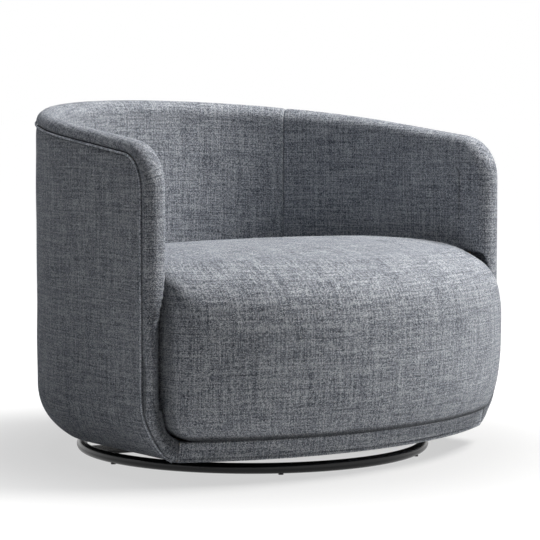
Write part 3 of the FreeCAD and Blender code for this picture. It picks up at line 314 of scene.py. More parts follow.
def fabric_material(name, two_ways=False):
    """The cover fabric on a piece's cloth map, with painted shade in seams and beside the seat and a painted
    highlight on the cord.

    A seat has a second map for its top.
    """
    material, tree, shader = new_material(name)

    def laid(map_name):
        cloth = node(tree, "UVMap", uv_map=map_name)
        woven = node(tree, "Group", {}, node_tree=weave)
        tree.links.new(cloth.outputs[0], woven.inputs[0])
        return woven.outputs

    tone, fleck, level = laid("cloth")
    if two_ways:
        top = node(tree, "Attribute", attribute_name="top_share").outputs["Fac"]
        others = laid("cloth_top")
        tone, fleck, level = [
            node(tree, "Mix", {0: top, 2: a, 3: b}).outputs[0] for a, b in zip((tone, fleck, level), others)]
    low = node(tree, "Mix", {0: node(tree, "MapRange", {0: tone, 1: 0.0, 2: 0.5}).outputs[0],
                             6: yarn_dark, 7: yarn_middle}, data_type="RGBA")
    high = node(tree, "Mix", {0: node(tree, "MapRange", {0: tone, 1: 0.5, 2: 1.1}).outputs[0],
                              6: low.outputs[2], 7: yarn_light}, data_type="RGBA")
    flecked = node(tree, "Mix", {0: fleck, 6: high.outputs[2], 7: fleck_colour}, data_type="RGBA")
    # Painted shade and highlight: the attribute darkens the colour in seams, on the rail's ledge, at the
    # seat's foot and beside the seat; a negative value lightens the cord.
    painted_shade_and_highlight = node(tree, "Attribute", attribute_name="painted_shade_and_highlight").outputs["Fac"]
    kept = node(tree, "Math", {0: 1.0, 1: painted_shade_and_highlight}, operation="SUBTRACT").outputs[0]
    shaded = node(tree, "VectorMath", {0: flecked.outputs[2], "Scale": kept}, operation="SCALE")
    tree.links.new(shaded.outputs[0], shader.inputs["Base Color"])
    bump = node(tree, "Bump", {"Strength": 0.55, "Distance": 0.0012, "Height": level})
    tree.links.new(bump.outputs[0], shader.inputs["Normal"])
    shader.inputs["Roughness"].default_value = 0.92
    shader.inputs["Specular IOR Level"].default_value = 0.15
    shader.inputs["Sheen Weight"].default_value = 0.18
    shader.inputs["Sheen Roughness"].default_value = 0.5
    shader.inputs["Sheen Tint"].default_value = (0.75, 0.8, 0.9, 1)
    return material


cover_fabric = fabric_material("cover fabric")

# The outer cover of the shell: one length of fabric over wadding and fibreboard, sewn to the
# piping under the rim and down both arms, pulled round the lower edge and stapled beneath.
shell_radius = 0.441
arm_splay = math.radians(3.2)
arm_front = -0.263
rim_height = 0.662
rim_slope = math.tan(math.radians(7))
rim_stretch = 1 / math.cos(math.radians(7))
rim_corner = 0.09
piping_drop = 0.025
underside_radius = 0.115
underside_height = 0.14
shell_bottom = 0.04
turned_under = 0.072
arc_reach = shell_radius * (math.pi / 2 - arm_splay)
arm_sin, arm_cos = math.sin(arm_splay), math.cos(arm_splay)
curl_fall = underside_height - shell_bottom
curl_angle = math.asin(curl_fall / underside_radius)
curl_length = underside_radius * curl_angle
curl_in = underside_radius * (1 - math.cos(curl_angle))
lowest_row = underside_height - curl_length - (turned_under - curl_in)


def plan_place(along, inset):
    """A place in plan: so far along the outer face from the back's middle, and so far in."""
    along = np.asarray(along, float)
    side = np.sign(along)
    reach = np.abs(along)
    turn = np.minimum(reach, arc_reach) / shell_radius
    ahead = np.maximum(reach - arc_reach, 0)
    out_x, out_y = np.sin(turn), np.cos(turn)
    x = out_x * (shell_radius - inset) + ahead * arm_sin
    y = out_y * (shell_radius - inset) - ahead * arm_cos
    return side * x, y


def shell_place(along, row, inset):
    """A place on the shell: row is the height, or less as the cloth turns under the edge."""
    row = np.asarray(row, float)
    below = np.clip((underside_height - row) / underside_radius, 0, curl_angle)
    flat = np.maximum(underside_height - curl_length - row, 0)
    tucked = (underside_radius - inset) * np.cos(below) + inset - underside_radius
    x, y = plan_place(along, inset - tucked + flat)
    z = np.where(row > underside_height, row, underside_height - (underside_radius - inset) * np.sin(below))
    return np.stack([x, y, z], axis=-1)


def crest_height(y):
    """The height of the rim, which falls from the back to the arms."""
    return rim_height + rim_slope * y


def side_corner(drop, share):
    """The rounded front corner in side view, from its lower end at 0 to its upper end at 1."""
    tilt = math.atan(rim_slope)
    radius = rim_corner - drop
    reach = rim_corner * math.tan((math.pi / 2 - tilt) / 2)
    centre_y = arm_front + rim_corner
    centre_z = crest_height(arm_front) - reach
    turn = share * (math.pi / 2 - tilt)
    return centre_y - radius * np.cos(turn), centre_z + radius * np.sin(turn)


def arm_along(y):
    """How far along the outer face an arm's place lies, from its y."""
    return arc_reach + (shell_radius * arm_sin - y) / arm_cos


def shares_along(line):
    """How far along a row of points each one lies, from 0 to 1."""
    steps = np.linalg.norm(np.diff(line, axis=0), axis=1)
    reach = np.r_[0, np.cumsum(steps)]
    return reach / reach[-1]


def soft_step(value, low, high):
    """From 0 at the low value to 1 at the high one, level at both ends."""
    share = np.clip((value - low) / (high - low), 0, 1)
    return share * share * (3 - 2 * share)


front_round = 0.0225
seam_back = 0.0212
seam_ahead = 0.0145
seam_turns, seam_full = 0.075, 0.17
cord_gap = 0.005


def seam_place(z):
    """How far back from the front the seam beside the cord lies, measured round the edge."""
    return seam_back - seam_ahead * (1 - soft_step(np.asarray(z, float), seam_turns, seam_full))


def round_edge(reach, radius):
    """In and back from the front's outer corner, at a reach measured round the edge from the front."""
    turn = np.clip((radius - reach) / radius, 0, math.pi / 2)
    flat = np.maximum(reach - radius, 0)
    return radius * (1 - np.cos(turn)), radius * (1 - np.sin(turn)) + flat, turn


rim_draw = 0.0018
rim_draw_height = 0.032
draw_start, draw_full = 0.03, 0.11


def rim_share(y):
    """How much of the rim's draw-in an arm's place has: none at the front edge, all behind the corner."""
    return soft_step(np.asarray(y, float) - arm_front, draw_start, draw_full)


def filled_grid(top, left):
    """A grid of points under a curved top row and beside a curved left row."""
    u = shares_along(top)[:, None, None]
    v = shares_along(left)[None, :, None]
    foot = np.array([top[-1, 0], left[0, 1]])
    right = foot + (top[-1] - foot) * v[0]
    bottom = left[0] + (foot - left[0]) * u[:, 0]
    corners = (1 - u) * (1 - v) * bottom[0] + u * (1 - v) * foot + (1 - u) * v * top[0] + u * v * top[-1]
    return (1 - u) * left[None] + u * right[None] + (1 - v) * bottom[:, None] + v * top[:, None] - corners


def grid_faces(columns, rows, flip=False):
    """Quads over a grid of columns times rows, seen from outside."""
    number = np.arange(columns * rows).reshape(columns, rows)
    a, b, c, d = number[:-1, :-1], number[1:, :-1], number[1:, 1:], number[:-1, 1:]
    quads = np.stack([a, b, c, d], axis=-1).reshape(-1, 4)
    return quads[:, ::-1] if flip else quads


def cloth_piece(name, points, quads, maps, material, thickness=0.0015, attributes=None):
    """A piece of cloth as a mesh: its points, faces, cloth maps, material and thickness."""
    mesh = bpy.data.meshes.new(name)
    places = [tuple(point) for point in np.asarray(points, float)]
    mesh.from_pydata(places, [], [tuple(int(i) for i in quad) for quad in quads])
    corners = np.empty(len(mesh.loops), dtype=np.int32)
    mesh.loops.foreach_get("vertex_index", corners)
    for map_name, uv in maps.items():
        layer = mesh.uv_layers.new(name=map_name)
        layer.data.foreach_set("uv", np.asarray(uv, float)[corners].astype(np.float32).ravel())
    for attribute_name, numbers in (attributes or {}).items():
        held = mesh.attributes.new(attribute_name, "FLOAT", "POINT")
        held.data.foreach_set("value", np.asarray(numbers, np.float32))
    mesh.polygons.foreach_set("use_smooth", np.ones(len(mesh.polygons), dtype=bool))
    mesh.materials.append(material)
    piece = bpy.data.objects.new(name, mesh)
    scene.collection.objects.link(piece)
    if thickness:
        wall = piece.modifiers.new("cloth thickness", "SOLIDIFY")
        wall.thickness = thickness
        wall.offset = -1
    return piece


def spaced(low, high, step):
    """Even places from low to high, about a step apart."""
    return np.linspace(low, high, max(2, int(round(abs(high - low) / step)) + 1))


cover_step = 0.009


def outer_cover():
    """The outer cover from arm to arm, as a grid with a corner halfway round each rounded one."""
    shares = spaced(0, 1, 0.06)
    lower_y, lower_z = side_corner(piping_drop, shares[shares <= 0.5 + 1e-9])
    upper_y, upper_z = side_corner(piping_drop, shares[shares >= 0.5 - 1e-9])
    front_y = arm_front + piping_drop
    rows = spaced(lowest_row, lower_z[0], cover_step)[:-1]
    left = np.stack([np.r_[np.full(len(rows), arm_along(front_y)), arm_along(lower_y)],
                     np.r_[rows, lower_z]], axis=-1)
    back = spaced(arm_along(upper_y[-1]), 0, cover_step)[1:]
    top_along = np.r_[arm_along(upper_y), back]
    top_row = crest_height(plan_place(top_along, 0.0)[1]) - piping_drop * rim_stretch
    top = np.stack([top_along, np.r_[upper_z, top_row[len(upper_y):]]], axis=-1)
    half = filled_grid(top, left)
    other = half[-2::-1] * (-1, 1)
    return np.concatenate([half, other])


cover_grid = outer_cover()
along, row = cover_grid[..., 0], cover_grid[..., 1]
inset = np.zeros_like(along)
edge_in = np.array([0.0026, 0.0011, 0.0002])
for step, depth in enumerate(edge_in):
    inset[step, :] = np.maximum(inset[step, :], depth)
    inset[-1 - step, :] = np.maximum(inset[-1 - step, :], depth)
    inset[:, -1 - step] = np.maximum(inset[:, -1 - step], depth)
beneath = np.clip(1 - (row[:, -1:] - row) / rim_draw_height, 0, 1) ** 2
inset += rim_draw * beneath * rim_share(plan_place(along, 0.0)[1])
sway_depth = 0.0006
sway = sway_depth * np.sin(along * 23 + row * 9) * np.sin(row * 31 + along * 5)
front_along = arm_along(arm_front)
behind = front_along - np.abs(along)
warp_depth = 0.075
level = np.where(row > underside_height, row, underside_height - underside_radius * np.sin(
    np.clip((underside_height - row) / underside_radius, 0, curl_angle)))
edge_now = seam_place(level) + cord_gap
edge_first = seam_back + cord_gap
reach_now = np.where(behind < warp_depth, warp_depth - (warp_depth - behind) * (warp_depth - edge_now) / (
    warp_depth - edge_first), behind)
round_in, round_back, _ = round_edge(reach_now, front_round)
inset_now = inset - sway + sway_depth + round_in
points = shell_place(np.sign(along) * (front_along - round_back), row, inset_now)
outer_piece = cloth_piece(
    "outer_cover_cloth", points.reshape(-1, 3), grid_faces(*points.shape[:2]),
    {"cloth": cover_grid.reshape(-1, 2)}, cover_fabric)
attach(outer_piece, "chair")
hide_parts("outer_cover", "outer_wadding")

# The arm covers: one padded panel for each arm, which starts at the seam with the front rail,
# turns up the front edge, rolls over the rim and goes down the inside behind the seat.
shell_thickness = 0.05
pad_depth = 0.06
seam_reach = 0.062
rail_height = 0.04
band_width = 0.038
band_corner = 0.042
panel_seam = shell_radius * math.radians(49)
behind_seat = 0.325
arm_tip_x = shell_radius / arm_cos - arm_front * math.tan(arm_splay)
rail_chord = arm_tip_x - 0.053
rail_bow = 0.117
rail_radius = (rail_chord ** 2 + rail_bow ** 2) / (2 * rail_bow)
rail_centre = rail_radius - rail_bow + arm_front
rail_lean = 0.008 / rail_height
seam_steps = np.array([0.0, 0.0014, 0.0032, 0.006, 0.010, 0.016])


def rail_face(x, z):
    """The front rail's face, which leans out a little towards its top."""
    lean = rail_lean * (np.clip(z, shell_bottom, shell_bottom + rail_height) - shell_bottom)
    return rail_centre - np.sqrt((rail_radius + lean) ** 2 - x ** 2)


tuck_run = np.array([0.0046, 0.0027, 0.0021, 0.0009])
tuck_depth = np.array([0.0044, 0.0044, 0.0022, 0.0006])
# Painted shade on the cloth tucked into the seam beside the cord, row by row.
painted_tuck_shade = np.array([0.95, 0.95, 0.95, 0.75])


def roll_profile(thickness, outer_round, inner_round, seam=seam_back):
    """Across the padded edge: how far in from the outer face, and how far back from the edge.

    It starts in the seam beside the cord, into which the cloth is tucked.
    """
    tuck_in, tuck_back, turn = round_edge(seam + tuck_run, outer_round)
    tuck_in, tuck_back = tuck_in + tuck_depth * np.cos(turn), tuck_back + tuck_depth * np.sin(turn)
    reach = np.linspace(min(seam, outer_round), (1 - math.pi / 2) * outer_round, 10)
    outer_in, outer_back, _ = round_edge(reach, outer_round)
    between = np.linspace(outer_round, thickness - inner_round, 4)[1:-1]
    quarter = np.linspace(0, math.pi / 2, 10)
    inner_in = thickness - inner_round * (1 - np.sin(quarter))
    inner_back = inner_round * (1 - np.cos(quarter))
    side = np.linspace(0, 1, 6)[1:] ** 1.2
    side_back = inner_round + (pad_depth - inner_round) * side
    inward = np.r_[tuck_in, outer_in, between, inner_in, np.full(5, thickness)]
    backward = np.r_[tuck_back, outer_back, np.zeros(2), inner_back, side_back]
    return inward, backward


full_roll = roll_profile(shell_thickness, front_round, 0.0244)
thin_roll = roll_profile(0.033, 0.009, 0.024)
foot_thickness, foot_corner, foot_inner_round = 0.036, 0.0085, 0.0135
roll_count = len(full_roll[0])
# Painted shade across a roll: in the tuck beside the cord and a little at the roll's start.
painted_roll_shade = np.r_[painted_tuck_shade, 0.3, np.zeros(roll_count - 5)]
crease_in = np.array([0.0, 0.0043, 0.0087, 0.0144, 0.0235, 0.033, 0.0445, 0.05])
crease_height = np.array([0.235, 0.245, 0.262, 0.281, 0.307, 0.339, 0.389, 0.398])
crease_soft_in = np.array([0, 0.012, 0.05])
crease_soft = np.array([0.02, 0.008, 0.004])
band_starts, band_full = 0.09, 0.17
foot_starts, foot_full = 0.042, 0.075
# Painted shade on the inner half of the arm's front band below the crease, where the seat shades it.
painted_band_shade = 0.62
shade_start, shade_full = 0.004, 0.023


def band_rolls(z):
    """The edge's profile at a height: a full roll above the crease beside the seat, thinner below.

    The third result is how much of the inner half lies in the seat's shade, below the crease.
    """
    at = np.interp(full_roll[0], crease_in, crease_height)
    soft = np.interp(full_roll[0], crease_soft_in, crease_soft)
    share = soft_step(z, at - soft, at + soft)
    low = soft_step(z, band_starts, band_full)
    foot_round = foot_corner + (front_round - foot_corner) * float(soft_step(z, foot_starts, foot_full))
    foot_roll = roll_profile(foot_thickness, foot_round, foot_inner_round, float(seam_place(z)))
    inward = thin_roll[0] * low + foot_roll[0] * (1 - low)
    backward = thin_roll[1] * low + foot_roll[1] * (1 - low)
    shade = painted_band_shade * (1 - share) * soft_step(inward, shade_start, shade_full)
    return full_roll[0] * share + inward * (1 - share), full_roll[1] * share + backward * (1 - share), shade


def drawn_in(inward, y):
    """The padded rim is narrower at its top: its outer side leans in towards the piping."""
    return inward + rim_draw * rim_share(y) * (1 - inward / shell_thickness)


stitch_draw, stitch_reach = 0.11, 0.0026
pull_draw, pull_reach = 0.03, 0.012


def seam_draw(away):
    """How far a plain seam draws the padding in, near it, as a share of the roll."""
    away = np.abs(away)
    return stitch_draw * np.exp(-away / stitch_reach) + pull_draw * np.exp(-away / pull_reach)


def drawn_roll(inward, backward, y, draw):
    """The roll over the rim at a place, leaning in at its top and drawn in beside an upright seam."""
    heart = shell_thickness / 2
    inward = drawn_in(inward, y)
    return inward + (heart - inward) * draw, backward + (heart - backward) * draw * (backward < heart)


def lengths_along(places):
    """How far along each row of a grid of points each point lies."""
    steps = np.linalg.norm(np.diff(places, axis=1), axis=2)
    return np.concatenate([np.zeros((len(places), 1)), np.cumsum(steps, axis=1)], axis=1)


front_blend = 0.003
seam_sink, sink_fade = 0.0028, 0.0025
gather_depth, gather_pitch = 0.0007, 0.0052
gather_place, gather_spread = 0.062, 0.02
crease_top = 0.405
arm_fullness = 0.0025


def arm_cover():
    """The right arm's cover: its edge strip from the front rail to the panel seam, and its inside."""
    places, bases, ways, shades, edge = [], [], [], [], []
    lean = math.tan(arm_splay)

    def lay(x, y, z, base, way, shade=np.zeros(roll_count)):
        places.append(np.stack([x, y, z], axis=-1))
        bases.append(base)
        ways.append(way)
        shades.append(shade)

    inner_x = arm_tip_x - band_width / arm_cos
    inner_centre = np.array([inner_x - band_corner, shell_bottom + rail_height + band_corner])
    start_angle = math.asin((arm_tip_x - seam_reach - inner_centre[0]) / band_corner)
    inner_bend = (math.pi / 2 - start_angle) * band_corner
    inner_rise = underside_height - inner_centre[1]
    flat_edge = seam_reach - curl_in
    whole_run = flat_edge + curl_length
    pad_along = arm_along(arm_front + pad_depth)
    for step in np.r_[0, 0.012, 0.03, np.linspace(0.06, 1, 90)[:-1]]:
        run = step * whole_run
        angle = curl_angle - max(0, run - flat_edge) / underside_radius
        outer = np.array([arm_tip_x - underside_radius * (1 - math.cos(angle)) + min(0, run - flat_edge),
                          underside_height - underside_radius * math.sin(angle)])
        inner_run = step * (inner_bend + inner_rise)
        bend = min(start_angle + inner_run / band_corner, math.pi / 2)
        inner = inner_centre + band_corner * np.array([math.sin(bend), -math.cos(bend)])
        inner[1] += max(0, inner_run - inner_bend)
        inward, backward, shade = band_rolls(outer[1])
        share = np.clip(inward / inward.max(), 0, 1)[:, None]
        flat = outer * (1 - share) + inner * share
        meet = rail_face(flat[:, 0], flat[:, 1])
        front = arm_front - front_blend * np.log1p(np.exp((arm_front - meet) / front_blend))
        sunk = seam_sink * math.exp(-run / sink_fade)
        gathers = gather_depth * math.sin(run * 2 * math.pi / gather_pitch) * math.exp(
            -((run - gather_place) / gather_spread) ** 2)
        gathered = gathers * np.exp(-((share[:, 0] - 0.35) / 0.3) ** 2)
        lay(flat[:, 0] - backward * lean, front + backward + sunk + gathered, flat[:, 1],
            (pad_along, underside_height - whole_run + run), (1, 0), shade)
    corner_low = float(side_corner(0, np.array(0.0))[1])
    crease_rows = spaced(crease_height[0], crease_top, 0.003)
    rows = np.r_[spaced(underside_height, crease_rows[0], 0.006)[:-1], crease_rows,
                 spaced(crease_rows[-1], corner_low, 0.007)[1:-1]]
    for z in rows:
        inward, backward, shade = band_rolls(z)
        y = arm_front + backward
        lay((shell_radius - inward) / arm_cos - y * lean, y, np.full_like(y, z),
            (pad_along, z), (1, 0), shade)
        edge.append((pad_along - shell_thickness * lean, z))
    inward, backward = full_roll
    for share in spaced(0, 1, 0.05):
        y, z = side_corner(backward, share)
        turn = share * (math.pi / 2 - math.atan(rim_slope))
        pad_y, pad_z = side_corner(pad_depth, share)
        lay((shell_radius - drawn_in(inward, y)) / arm_cos - y * lean, y, z, (arm_along(pad_y), pad_z),
            (math.cos(turn), math.sin(turn)))
        edge.append((arm_along(pad_y) - shell_thickness * lean, pad_z))
    start = arm_along(float(side_corner(0, np.array(1.0))[0]))
    near_seam = panel_seam + seam_steps[::-1]
    for along in np.r_[spaced(start, near_seam[0], 0.007)[1:-1], near_seam]:
        turned = np.clip((start - along) / (start - arc_reach), 0, 1)
        sunk_in, sunk_back = drawn_roll(inward, backward, float(plan_place(along, 0.0)[1]),
                                        seam_draw(along - panel_seam))
        placed = along - (1 - turned) * inward * lean
        x, y = plan_place(placed, sunk_in)
        z = crest_height(y) - sunk_back * rim_stretch
        lay(x, y, z, (along, z[-1]), (0, 1))
        edge.append((placed[-1], z[-1]))
    places = np.array(places)
    from_pad = lengths_along(places[:, ::-1])[:, ::-1]
    maps = np.array(bases)[:, None] + np.array(ways)[:, None] * from_pad[..., None]
    edge = np.array(edge)
    edge_start = len(places) - len(edge)
    first = int(np.argmax(edge[:, 1] > behind_seat))
    middle = int(np.argmax(edge[:, 0] < pad_along - 0.018))
    inside = filled_grid(edge[middle:], edge[first:middle + 1])
    draw = seam_draw(inside[..., 0] - panel_seam)
    fullness = arm_fullness * np.sin(np.clip((inside[..., 0] - panel_seam) / 0.5, 0, 1) * math.pi)
    rows = soft_step(inside[..., 1], behind_seat, behind_seat + 0.12) * soft_step(
        crest_height(arm_front) - 0.02 - inside[..., 1], 0, 0.08)
    inset = shell_thickness * (1 - draw / 2) + fullness * rows
    x, y = plan_place(inside[..., 0], inset)
    inside_places = np.stack([x, y, inside[..., 1]], axis=-1)
    numbers = np.arange(places.shape[0] * roll_count).reshape(places.shape[:2])
    columns, heights = inside.shape[:2]
    inner_numbers = np.arange(columns * heights).reshape(columns, heights) + numbers.size
    inner_numbers[0] = numbers[edge_start + first:edge_start + middle + 1, -1]
    inner_numbers[:, -1] = numbers[edge_start + middle:, -1]
    quads = np.concatenate([numbers.ravel()[grid_faces(*numbers.shape)],
                            inner_numbers.ravel()[grid_faces(columns, heights, flip=True)]])
    points = np.concatenate([places.reshape(-1, 3), inside_places.reshape(-1, 3)])
    uv = np.concatenate([maps.reshape(-1, 2), inside.reshape(-1, 2)])
    used, quads = np.unique(quads, return_inverse=True)
    # Painted shade for each point: in the tuck, at the roll's start, and on the band beside the seat.
    dark = np.r_[(painted_roll_shade + np.array(shades)).ravel(), np.zeros(inside[..., 0].size)]
    return points[used], quads.reshape(-1, 4), uv[used], dark[used]


arm_points, arm_quads, arm_map, arm_painted_shade = arm_cover()
for side, sign in (("right", 1), ("left", -1)):
    piece = cloth_piece(
        "arm_cover_cloth_" + side, arm_points * (sign, 1, 1), arm_quads[:, ::sign],
        {"cloth": arm_map * (sign, 1)}, cover_fabric, attributes={"painted_shade_and_highlight": arm_painted_shade})
    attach(piece, "chair")
    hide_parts("arm_cover_" + side, "arm_foam_" + side, "band_foam_" + side)

# The inner back: one padded panel of the fabric between the two upright seams, with the same
# roll over the rim; it goes down behind the seat, where it is stapled to the frame.
reach = panel_seam - seam_steps
half_columns = np.r_[reach, spaced(reach[-1], 0, 0.007)[1:]]
columns = np.r_[half_columns, -half_columns[-2::-1]]
sunk_in, sunk_back = drawn_roll(*full_roll, 0.0, seam_draw(panel_seam - np.abs(columns))[:, None])
x, y = plan_place(columns[:, None], sunk_in)
rim = np.stack([x, y, crest_height(y) - sunk_back * rim_stretch], axis=-1)
wall_rows = np.linspace(0, 1, 44)[1:]
wall_z = rim[:, -1:, 2] + (behind_seat - rim[:, -1:, 2]) * wall_rows
back_fullness, map_top = 0.004, 0.75
fullness = back_fullness * np.sin(math.pi * wall_rows) * np.cos(columns[:, None] / panel_seam * math.pi / 2)
x, y = plan_place(columns[:, None], sunk_in[:, -1:] + fullness)
back_wall = np.stack([x, y, wall_z], axis=-1)
back_places = np.concatenate([rim, back_wall], axis=1)
back_map = np.stack([np.broadcast_to(columns[:, None], back_places.shape[:2]),
                     map_top - lengths_along(back_places)], axis=-1)
# Painted shade in the tuck beside the cord and at the roll's start.
back_painted_shade = np.r_[painted_roll_shade, np.zeros(back_places.shape[1] - roll_count)]
back_piece = cloth_piece(
    "inner_back_cloth", back_places.reshape(-1, 3), grid_faces(*back_places.shape[:2]),
    {"cloth": back_map.reshape(-1, 2)}, cover_fabric,
    attributes={"painted_shade_and_highlight": np.tile(back_painted_shade, len(columns))})
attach(back_piece, "chair")
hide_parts("inner_back_cover", "back_foam")

# The piping: a cord in a bias strip of the same fabric, sewn between the outer cover and the
# arm and back covers, from the rail's end up the arm, over the corner and round the rim.
cord_radius = 0.0022
cord_bed = 0.4 * cord_radius
# A painted highlight: this negative amount of painted shade makes the cord's colour paler.
painted_cord_highlight = -0.7
cord_drop = seam_back + cord_gap
curl_rows = underside_height - underside_radius * np.sin(np.linspace(curl_angle, 0, 16)[:-1])
front_rows = spaced(underside_height, float(side_corner(0, np.array(0.0))[1]), 0.02)[:-1]
low_rows = np.r_[curl_rows, front_rows]
low_in, low_back, _ = round_edge(seam_place(low_rows) + cord_gap, front_round)
corner_y, corner_z = side_corner(cord_drop, spaced(0, 1, 0.05))
rim_along = spaced(arm_along(float(corner_y[-1])), 0, 0.008)[1:]
rim_y = plan_place(rim_along, 0.0)[1]
rim_x, rim_y = plan_place(rim_along, rim_draw * rim_share(rim_y) - cord_bed)
arm_y = np.r_[arm_front + low_back, corner_y]
fallen = np.clip(underside_height - low_rows, 0, 1)
curl_in_now = underside_radius - np.sqrt(underside_radius ** 2 - fallen ** 2)
arm_x = (shell_radius + cord_bed) / arm_cos - arm_y * math.tan(arm_splay)
arm_x[:len(low_rows)] -= curl_in_now + low_in
arm_x[len(low_rows):] -= rim_draw * rim_share(corner_y)
right_half = np.stack([
    np.r_[arm_x, rim_x], np.r_[arm_y, rim_y],
    np.r_[low_rows, corner_z, crest_height(rim_y) - cord_drop * rim_stretch]], axis=-1)
cord_path = np.concatenate([right_half, right_half[-2::-1] * (-1, 1, 1)])


def cord_nodes():
    """Geometry nodes that make a round cord of a given radius along a path, with a cloth map."""
    group, begin, end = new_group(
        "cord along a path", "GeometryNodeTree",
        {"Path": "Geometry", "Radius": "Float", "Material": "Material"}, {"Cord": "Geometry"})

    def made(kind, inputs=None, **settings):
        return node(group, kind, inputs, "GeometryNode", **settings)

    path = made("MeshToCurve", {"Mesh": begin.outputs["Path"]})
    ring = made("CurvePrimitiveCircle", {"Resolution": 10, "Radius": begin.outputs["Radius"]})
    length = made("SplineParameter")
    held = made("StoreNamedAttribute", {"Geometry": path.outputs[0], "Name": "along_cord",
                                        "Value": length.outputs["Length"]}, data_type="FLOAT", domain="POINT")
    round_cord = made("StoreNamedAttribute", {"Geometry": ring.outputs[0], "Name": "round_cord",
                                              "Value": length.outputs["Length"]},
                      data_type="FLOAT", domain="POINT")
    tube = made("CurveToMesh", {"Curve": held.outputs[0], "Profile Curve": round_cord.outputs[0],
                                "Fill Caps": True})
    along = made("InputNamedAttribute", {"Name": "along_cord"}, data_type="FLOAT")
    beside = made("InputNamedAttribute", {"Name": "round_cord"}, data_type="FLOAT")
    place = node(group, "CombineXYZ", {0: along.outputs[0], 1: beside.outputs[0]})
    mapped = made("StoreNamedAttribute", {"Geometry": tube.outputs[0], "Name": "cloth",
                                          "Value": place.outputs[0]}, data_type="FLOAT2", domain="CORNER")
    coloured = made("SetMaterial", {"Geometry": mapped.outputs[0], "Material": begin.outputs["Material"]})
    smooth = made("SetShadeSmooth", {"Geometry": coloured.outputs[0]})
    realized = made("RealizeInstances", {"Geometry": smooth.outputs[0]})
    group.links.new(realized.outputs[0], end.inputs["Cord"])
    return group


def cord_piece(name, path, radius, material):
    """A cord as a plain mesh, made by the nodes from a path of points."""
    line = bpy.data.meshes.new(name + " path")
    line.from_pydata([tuple(p) for p in path], [(i, i + 1) for i in range(len(path) - 1)], [])
    carrier = bpy.data.objects.new(name + " path", line)
    scene.collection.objects.link(carrier)
    modifier = carrier.modifiers.new("cord", "NODES")
    modifier.node_group = cord_nodes()
    sockets = {item.name: item.identifier for item in modifier.node_group.interface.items_tree
               if item.in_out == "INPUT"}
    modifier[sockets["Radius"]] = radius
    modifier[sockets["Material"]] = material
    seen = carrier.evaluated_get(bpy.context.evaluated_depsgraph_get())
    mesh = bpy.data.meshes.new_from_object(seen)
    mesh.name = name
    piece = bpy.data.objects.new(name, mesh)
    scene.collection.objects.link(piece)
    bpy.data.objects.remove(carrier)
    # Painted highlight over the whole cord.
    painted_highlight = mesh.attributes.new("painted_shade_and_highlight", "FLOAT", "POINT")
    painted_highlight.data.foreach_set("value", np.full(len(mesh.vertices), painted_cord_highlight, np.float32))
    return piece


piping_piece = cord_piece("piping_cord", cord_path, cord_radius, cover_fabric)
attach(piping_piece, "chair")
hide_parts("piping")

# The front rail's cover: a strip over wadding and a bent board, pulled tight over the ledge,
# with a narrow hem along its foot, and stapled under the rail.
rail_width = arm_tip_x - seam_reach
rail_top = shell_bottom + rail_height
rail_x = spaced(-rail_width, rail_width, 0.0015)[:, None]
hem_line = 0.0472
edge_round = 0.005
quarter = np.linspace(0, math.pi / 2, 6)
ledge = np.linspace(0.03, edge_round, 6)[:-1]
face_z = np.linspace(rail_top - edge_round, 0.0495, 9)[1:]
hem_z = hem_line + np.array([0.0012, 0.0004, -0.0004, -0.0012, -0.0028, -0.0046])
hem_back = np.array([0.0006, 0.0015, 0.0015, 0.0002, -0.0006, -0.0003])
under = np.linspace(0.0012, 0.038, 6)
profile_back = np.r_[ledge, edge_round * (1 - np.sin(quarter)), np.zeros_like(face_z), hem_back, under][None]
profile_z = np.r_[np.full_like(ledge, rail_top), rail_top - edge_round * (1 - np.cos(quarter)), face_z, hem_z,
                  np.full_like(under, shell_bottom)][None]
# Painted shade on the rail's ledge under the seat, fading round the rail's top edge.
painted_seam_shade, painted_edge_shade = 0.93, 0.9
rail_painted_shade = np.r_[np.full_like(ledge, painted_seam_shade), np.linspace(painted_edge_shade, 0, len(quarter)),
                  np.zeros(len(face_z) + len(hem_z) + len(under))]
around = rail_radius * np.arcsin(rail_x / rail_radius)
pucker_pitch, pucker_depth = 0.0087, 0.0009
pucker = 0.5 + 0.5 * np.sin(around * 2 * math.pi / pucker_pitch + 0.7 * np.sin(around * 41))
near_hem = np.exp(-((profile_z - hem_line) / 0.0026) ** 2) * (profile_back < edge_round)
at_end = seam_sink * np.exp(-(rail_width - np.abs(rail_x)) / sink_fade) * (profile_back < 0.012)
face_y = rail_face(rail_x, profile_z)
rail_y = face_y + profile_back + at_end + pucker_depth * near_hem * pucker
rail_places = np.stack(np.broadcast_arrays(rail_x, rail_y, profile_z), axis=-1)
rail_map = np.stack([np.broadcast_to(around, rail_places.shape[:2]), -lengths_along(rail_places)], axis=-1)
rail_piece = cloth_piece(
    "front_rail_cloth", rail_places.reshape(-1, 3), grid_faces(*rail_places.shape[:2], flip=True),
    {"cloth": rail_map.reshape(-1, 2)}, cover_fabric,
    attributes={"painted_shade_and_highlight": np.tile(rail_painted_shade, len(rail_x))})
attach(rail_piece, "chair")
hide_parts("front_rail_cover", "front_rail_wadding")

# The seat: one fixed thick unit, fabric over soft foam, bowed at the front, with straight sides,
# a top that sags towards the back, and a lower edge that tucks in above the rail.
seat_gap = 0.044
seat_front_radius = 0.713
seat_front = 0.1795 - arm_front
seat_corner = 0.05
seat_low, seat_high = 0.082, 0.43
seat_span = 1.36
seat_shares = np.array([
    (0, .02, .024), (.03, .017, .013), (.075, .0125, .0045), (.13, .008, .001), (.24, .003, -.0015),
    (.46, 0, -.002), (.64, .0015, -.001), (.755, .009, .001), (.838, .026, .0025), (.89, .048, .0065),
    (.945, .079, .017), (.97, .108, .036), (.991, .152, .075), (1, .2, .13)])
sag_depth, sag_start, sag_reach, sag_power, sag_most = 0.03, 0.05, 0.39, 1.25, 1.15
sag_levels = (0.27, 0.40)
top_map_reach = np.array([0.34, 0.40])
foot_rows = np.array([0.003, 0.011])


